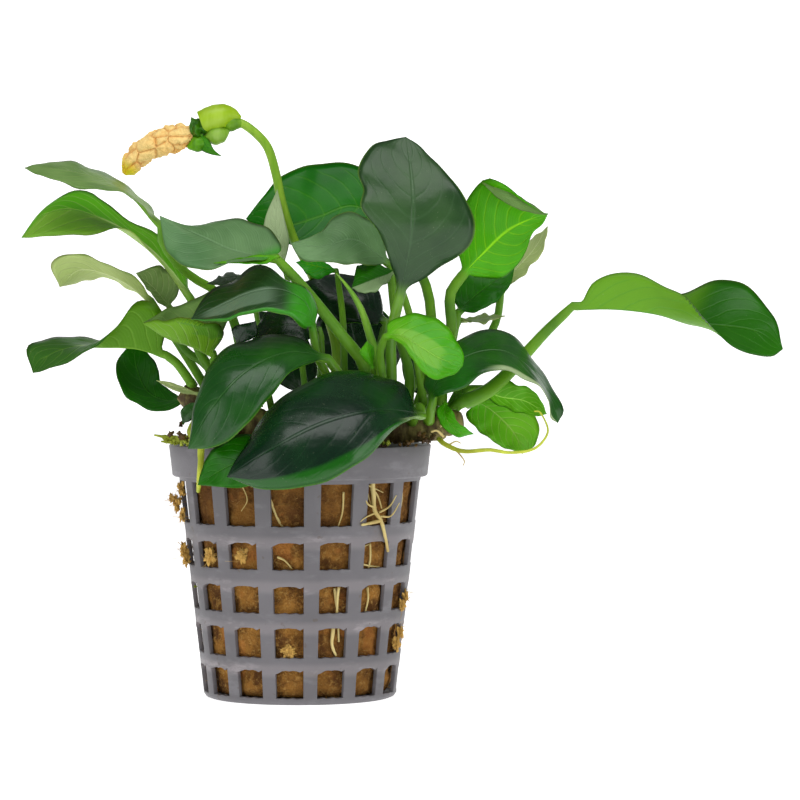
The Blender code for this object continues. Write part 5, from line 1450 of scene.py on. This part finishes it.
class OBJECT_OT_anubias_flower(bpy.types.Operator):
    """Grow the flower: bent stalk, bract, lumpy spike and the thin sheath beside the stalk."""

    bl_idname = "object.anubias_flower"
    bl_label = "Flower"

    def execute(self, context):
        settings = context.scene.anubias_leaf
        start, direction = root_start(PEDUNCLE_ROOT)
        line = smooth_line([start] + PEDUNCLE_LINE + [FLOWER_JOINT], 90)
        body = skin_rings(tube(line, spread(PEDUNCLE_RADII, 90), 20, direction, 0.03))
        stalk = stem_finish("flower_stalk_green", tint(140, 178, 54), tint(104, 152, 30))
        add_piece("flower_stalk", body, stalk, ["peduncle"])
        self.spike()
        self.bract()
        sheath = leaf_finish("sheath", "sheath", settings)
        add_piece("stalk_sheath", leaf_body("sheath", SHEATH, settings), sheath, ["sheath"])
        return {"FINISHED"}

    def swell(self, radii, count):
        """A smooth run of radii through the given ones."""
        return smooth_line([(place, radius, 0.0) for place, radius in enumerate(radii)], count)[:, 1]

    def bract(self):
        """The hood with its open mouth, the lobe under it, and the dark ruff the spike comes out of."""
        line = smooth_line(HOOD_LINE, 60)
        rings = tube(line, self.swell(HOOD_RADII, 60), 60, knobs=0.04, seed=3)
        mouth = [spot - line[-1] for spot in rings[-1]]
        rings.append([line[-1] + spot * 0.86 for spot in mouth])
        rings.append([line[-14] + spot * 0.7 for spot in mouth])
        yellow = stem_finish("bract_skin", tint(140, 176, 10), tint(158, 190, 60), 0.34)
        add_piece("bract_hood", skin_rings(rings), yellow, ["spathe"])
        for name, points, radii, knobs, light, shade in BRACT_LOBES:
            rings = tube(smooth_line(points, 48), self.swell(radii, 48), 48, knobs=knobs, seed=len(name))
            skin = stem_finish(name + "_skin", tint(*light), tint(*shade), 0.4)
            add_piece(name, skin_rings(rings), skin)

    def spike(self):
        """The spike: rounded lumps with clefts between them and smaller ones on them."""
        rows, columns = 130, 120
        line = smooth_line(SPADIX_LINE, rows + 1)
        shape = np.interp(np.linspace(0, 1, rows + 1), *zip(*SPIKE_SHAPE))
        heading, ups = ring_frames(line, np.array([0.0, 1.0, 0.0]))
        rings, values = [], {"along": [], "cleft": []}
        for row in range(rows + 1):
            side = np.cross(heading[row], ups[row])
            ring, clefts = [], []
            for step in range(columns):
                turn = TURN * step / columns
                out = ups[row] * math.cos(turn) - side * math.sin(turn)
                spot = Vector(line[row] + out * shape[row])
                gaps, _ = noise.voronoi(spot * 0.30 + Vector((3.1, 0.4, 1.7)))
                small, _ = noise.voronoi(spot * 0.75 + Vector((1.2, 5.0, 0.3)))
                split = min(1.0, (gaps[1] - gaps[0]) * 1.5)
                dome = math.sqrt(1.0 - (1.0 - split) ** 2)
                crumb = min(1.0, (small[1] - small[0]) * 2.5)
                lump = 0.63 + 0.34 * dome + 0.08 * crumb + 0.07 * noise.noise(spot * 1.1)
                ring.append(line[row] + out * shape[row] * lump)
                clefts.append((1.0 - split) ** 9)
            rings.append(ring)
            values["along"].append([row / rows] * columns)
            values["cleft"].append(clefts)
        add_piece("flower_spike", skin_rings(rings, values), spike_finish(), ["spadix"])


class OBJECT_OT_anubias_roots(bpy.types.Operator):
    """Grow the aerial roots, the roots in the windows and their thin side rootlets."""

    bl_idname = "object.anubias_roots"
    bl_label = "Roots"

    def execute(self, context):
        pale = root_finish("root_pale", (0.62, 0.50, 0.20), (0.46, 0.34, 0.11))
        green = root_finish("root_green", tint(186, 196, 62), tint(150, 158, 40))
        for name, (points, (first, last)) in ROOTS.items():
            count = 14 * (len(points) - 1)
            line = smooth_line(points, count + 1)
            body = skin_rings(tube(line, np.linspace(first, last, count + 1), 12, knobs=0.15))
            skin = green if name in ("root_aerial", "root_over_rim") else pale
            add_piece(name + "_skin", body, skin, [name])
        strands = list(ROOTLETS)
        for spots, radii in WINDOW_ROOTS:
            strands.append(([wall_way(angle) * (pot_radius(height) + lift) + Vector((0.0, 0.0, height))
                             for angle, height, lift in spots], radii))
        body = bmesh.new()
        for points, (first, last) in strands:
            count = 8 * (len(points) - 1)
            line = smooth_line(points, count + 1)
            add_strand(body, skin_rings(tube(line, np.linspace(first, last, count + 1), 8, knobs=0.2)))
        add_piece("rootlets", body, pale)
        return {"FINISHED"}


class OBJECT_OT_anubias_moss(bpy.types.Operator):
    """Scatter ragged moss and crumbs of bark along the rim."""

    bl_idname = "object.anubias_moss"
    bl_label = "Moss and crumbs"

    def execute(self, context):
        chance = random.Random(31)
        green = stem_finish("moss_green", tint(168, 180, 70), tint(120, 130, 30), 0.8)
        brown = root_finish("bark_crumb", tint(112, 84, 36), tint(58, 40, 14))
        for name, skin, clumps, strands in (("moss", green, MOSS, MOSS_STRANDS),
                                            ("crumbs", brown, CRUMBS, [])):
            body = bmesh.new()
            for place, size, count in clumps:
                for _ in range(count):
                    self.crumb(body, chance, Vector(place), size)
            for points, (first, last) in strands:
                rings = tube(smooth_line(points, 30), np.linspace(first, last, 30), 9, knobs=0.7)
                add_strand(body, skin_rings(rings))
            bmesh.ops.recalc_face_normals(body, faces=body.faces)
            add_piece(name, body, skin)
        return {"FINISHED"}

    def crumb(self, body, chance, place, size):
        """One ragged lump that reaches out on one side, near a place."""
        middle = place + Vector([chance.gauss(0.0, size * 0.8), chance.gauss(0.0, size * 0.8),
                                 chance.gauss(0.0, size * 0.3)])
        seed = Vector([chance.uniform(0, 9) for _ in range(3)])
        lean = Vector([chance.uniform(-1, 1), chance.uniform(-1, 1), chance.uniform(-0.3, 0.9)])
        ball = bmesh.ops.create_icosphere(body, subdivisions=3, radius=1.0)
        for vert in ball["verts"]:
            way = vert.co.normalized()
            bulk = 0.6 + 1.1 * max(0.0, noise.noise(way * 2.2 + seed)) + 0.4 * noise.noise(way * 6 + seed)
            reach = 1.0 + 0.9 * max(0.0, way.dot(lean.normalized())) ** 3
            vert.co = (middle + way * size * 0.45 * bulk * reach) * MM


class VIEW3D_PT_anubias(bpy.types.Panel):
    """Lists the plant's pieces and their settings."""

    bl_label = "Anubias in a net pot"
    bl_space_type = "VIEW_3D"
    bl_region_type = "UI"
    bl_category = "Anubias"

    def draw(self, context):
        for operator in OPERATORS:
            self.layout.operator(operator.bl_idname)
        for group, settings in SETTINGS.items():
            box = self.layout.box()
            for name in settings.__annotations__:
                box.prop(getattr(context.scene, group), name)


OPERATORS = [OBJECT_OT_anubias_stage, OBJECT_OT_anubias_pot, OBJECT_OT_anubias_wool,
             OBJECT_OT_anubias_rhizome, OBJECT_OT_anubias_leaves, OBJECT_OT_anubias_spear,
             OBJECT_OT_anubias_flower, OBJECT_OT_anubias_roots, OBJECT_OT_anubias_moss]
SETTINGS = {"anubias_pot": AnubiasPotSettings, "anubias_leaf": AnubiasLeafSettings,
            "anubias_stage": AnubiasStageSettings}
CLASSES = [*SETTINGS.values(), *OPERATORS, VIEW3D_PT_anubias]


def register():
    for item in CLASSES:
        bpy.utils.register_class(item)
    for group, settings in SETTINGS.items():
        setattr(bpy.types.Scene, group, bpy.props.PointerProperty(type=settings))


def unregister():
    for group in SETTINGS:
        delattr(bpy.types.Scene, group)
    for item in reversed(CLASSES):
        bpy.utils.unregister_class(item)


def main():
    register()
    bpy.ops.object.anubias_stage()
    bpy.ops.object.anubias_pot()
    bpy.ops.object.anubias_wool()
    bpy.ops.object.anubias_rhizome()
    bpy.ops.object.anubias_leaves()
    bpy.ops.object.anubias_spear()
    bpy.ops.object.anubias_flower()
    bpy.ops.object.anubias_roots()
    bpy.ops.object.anubias_moss()


if __name__ == "__main__":
    main()
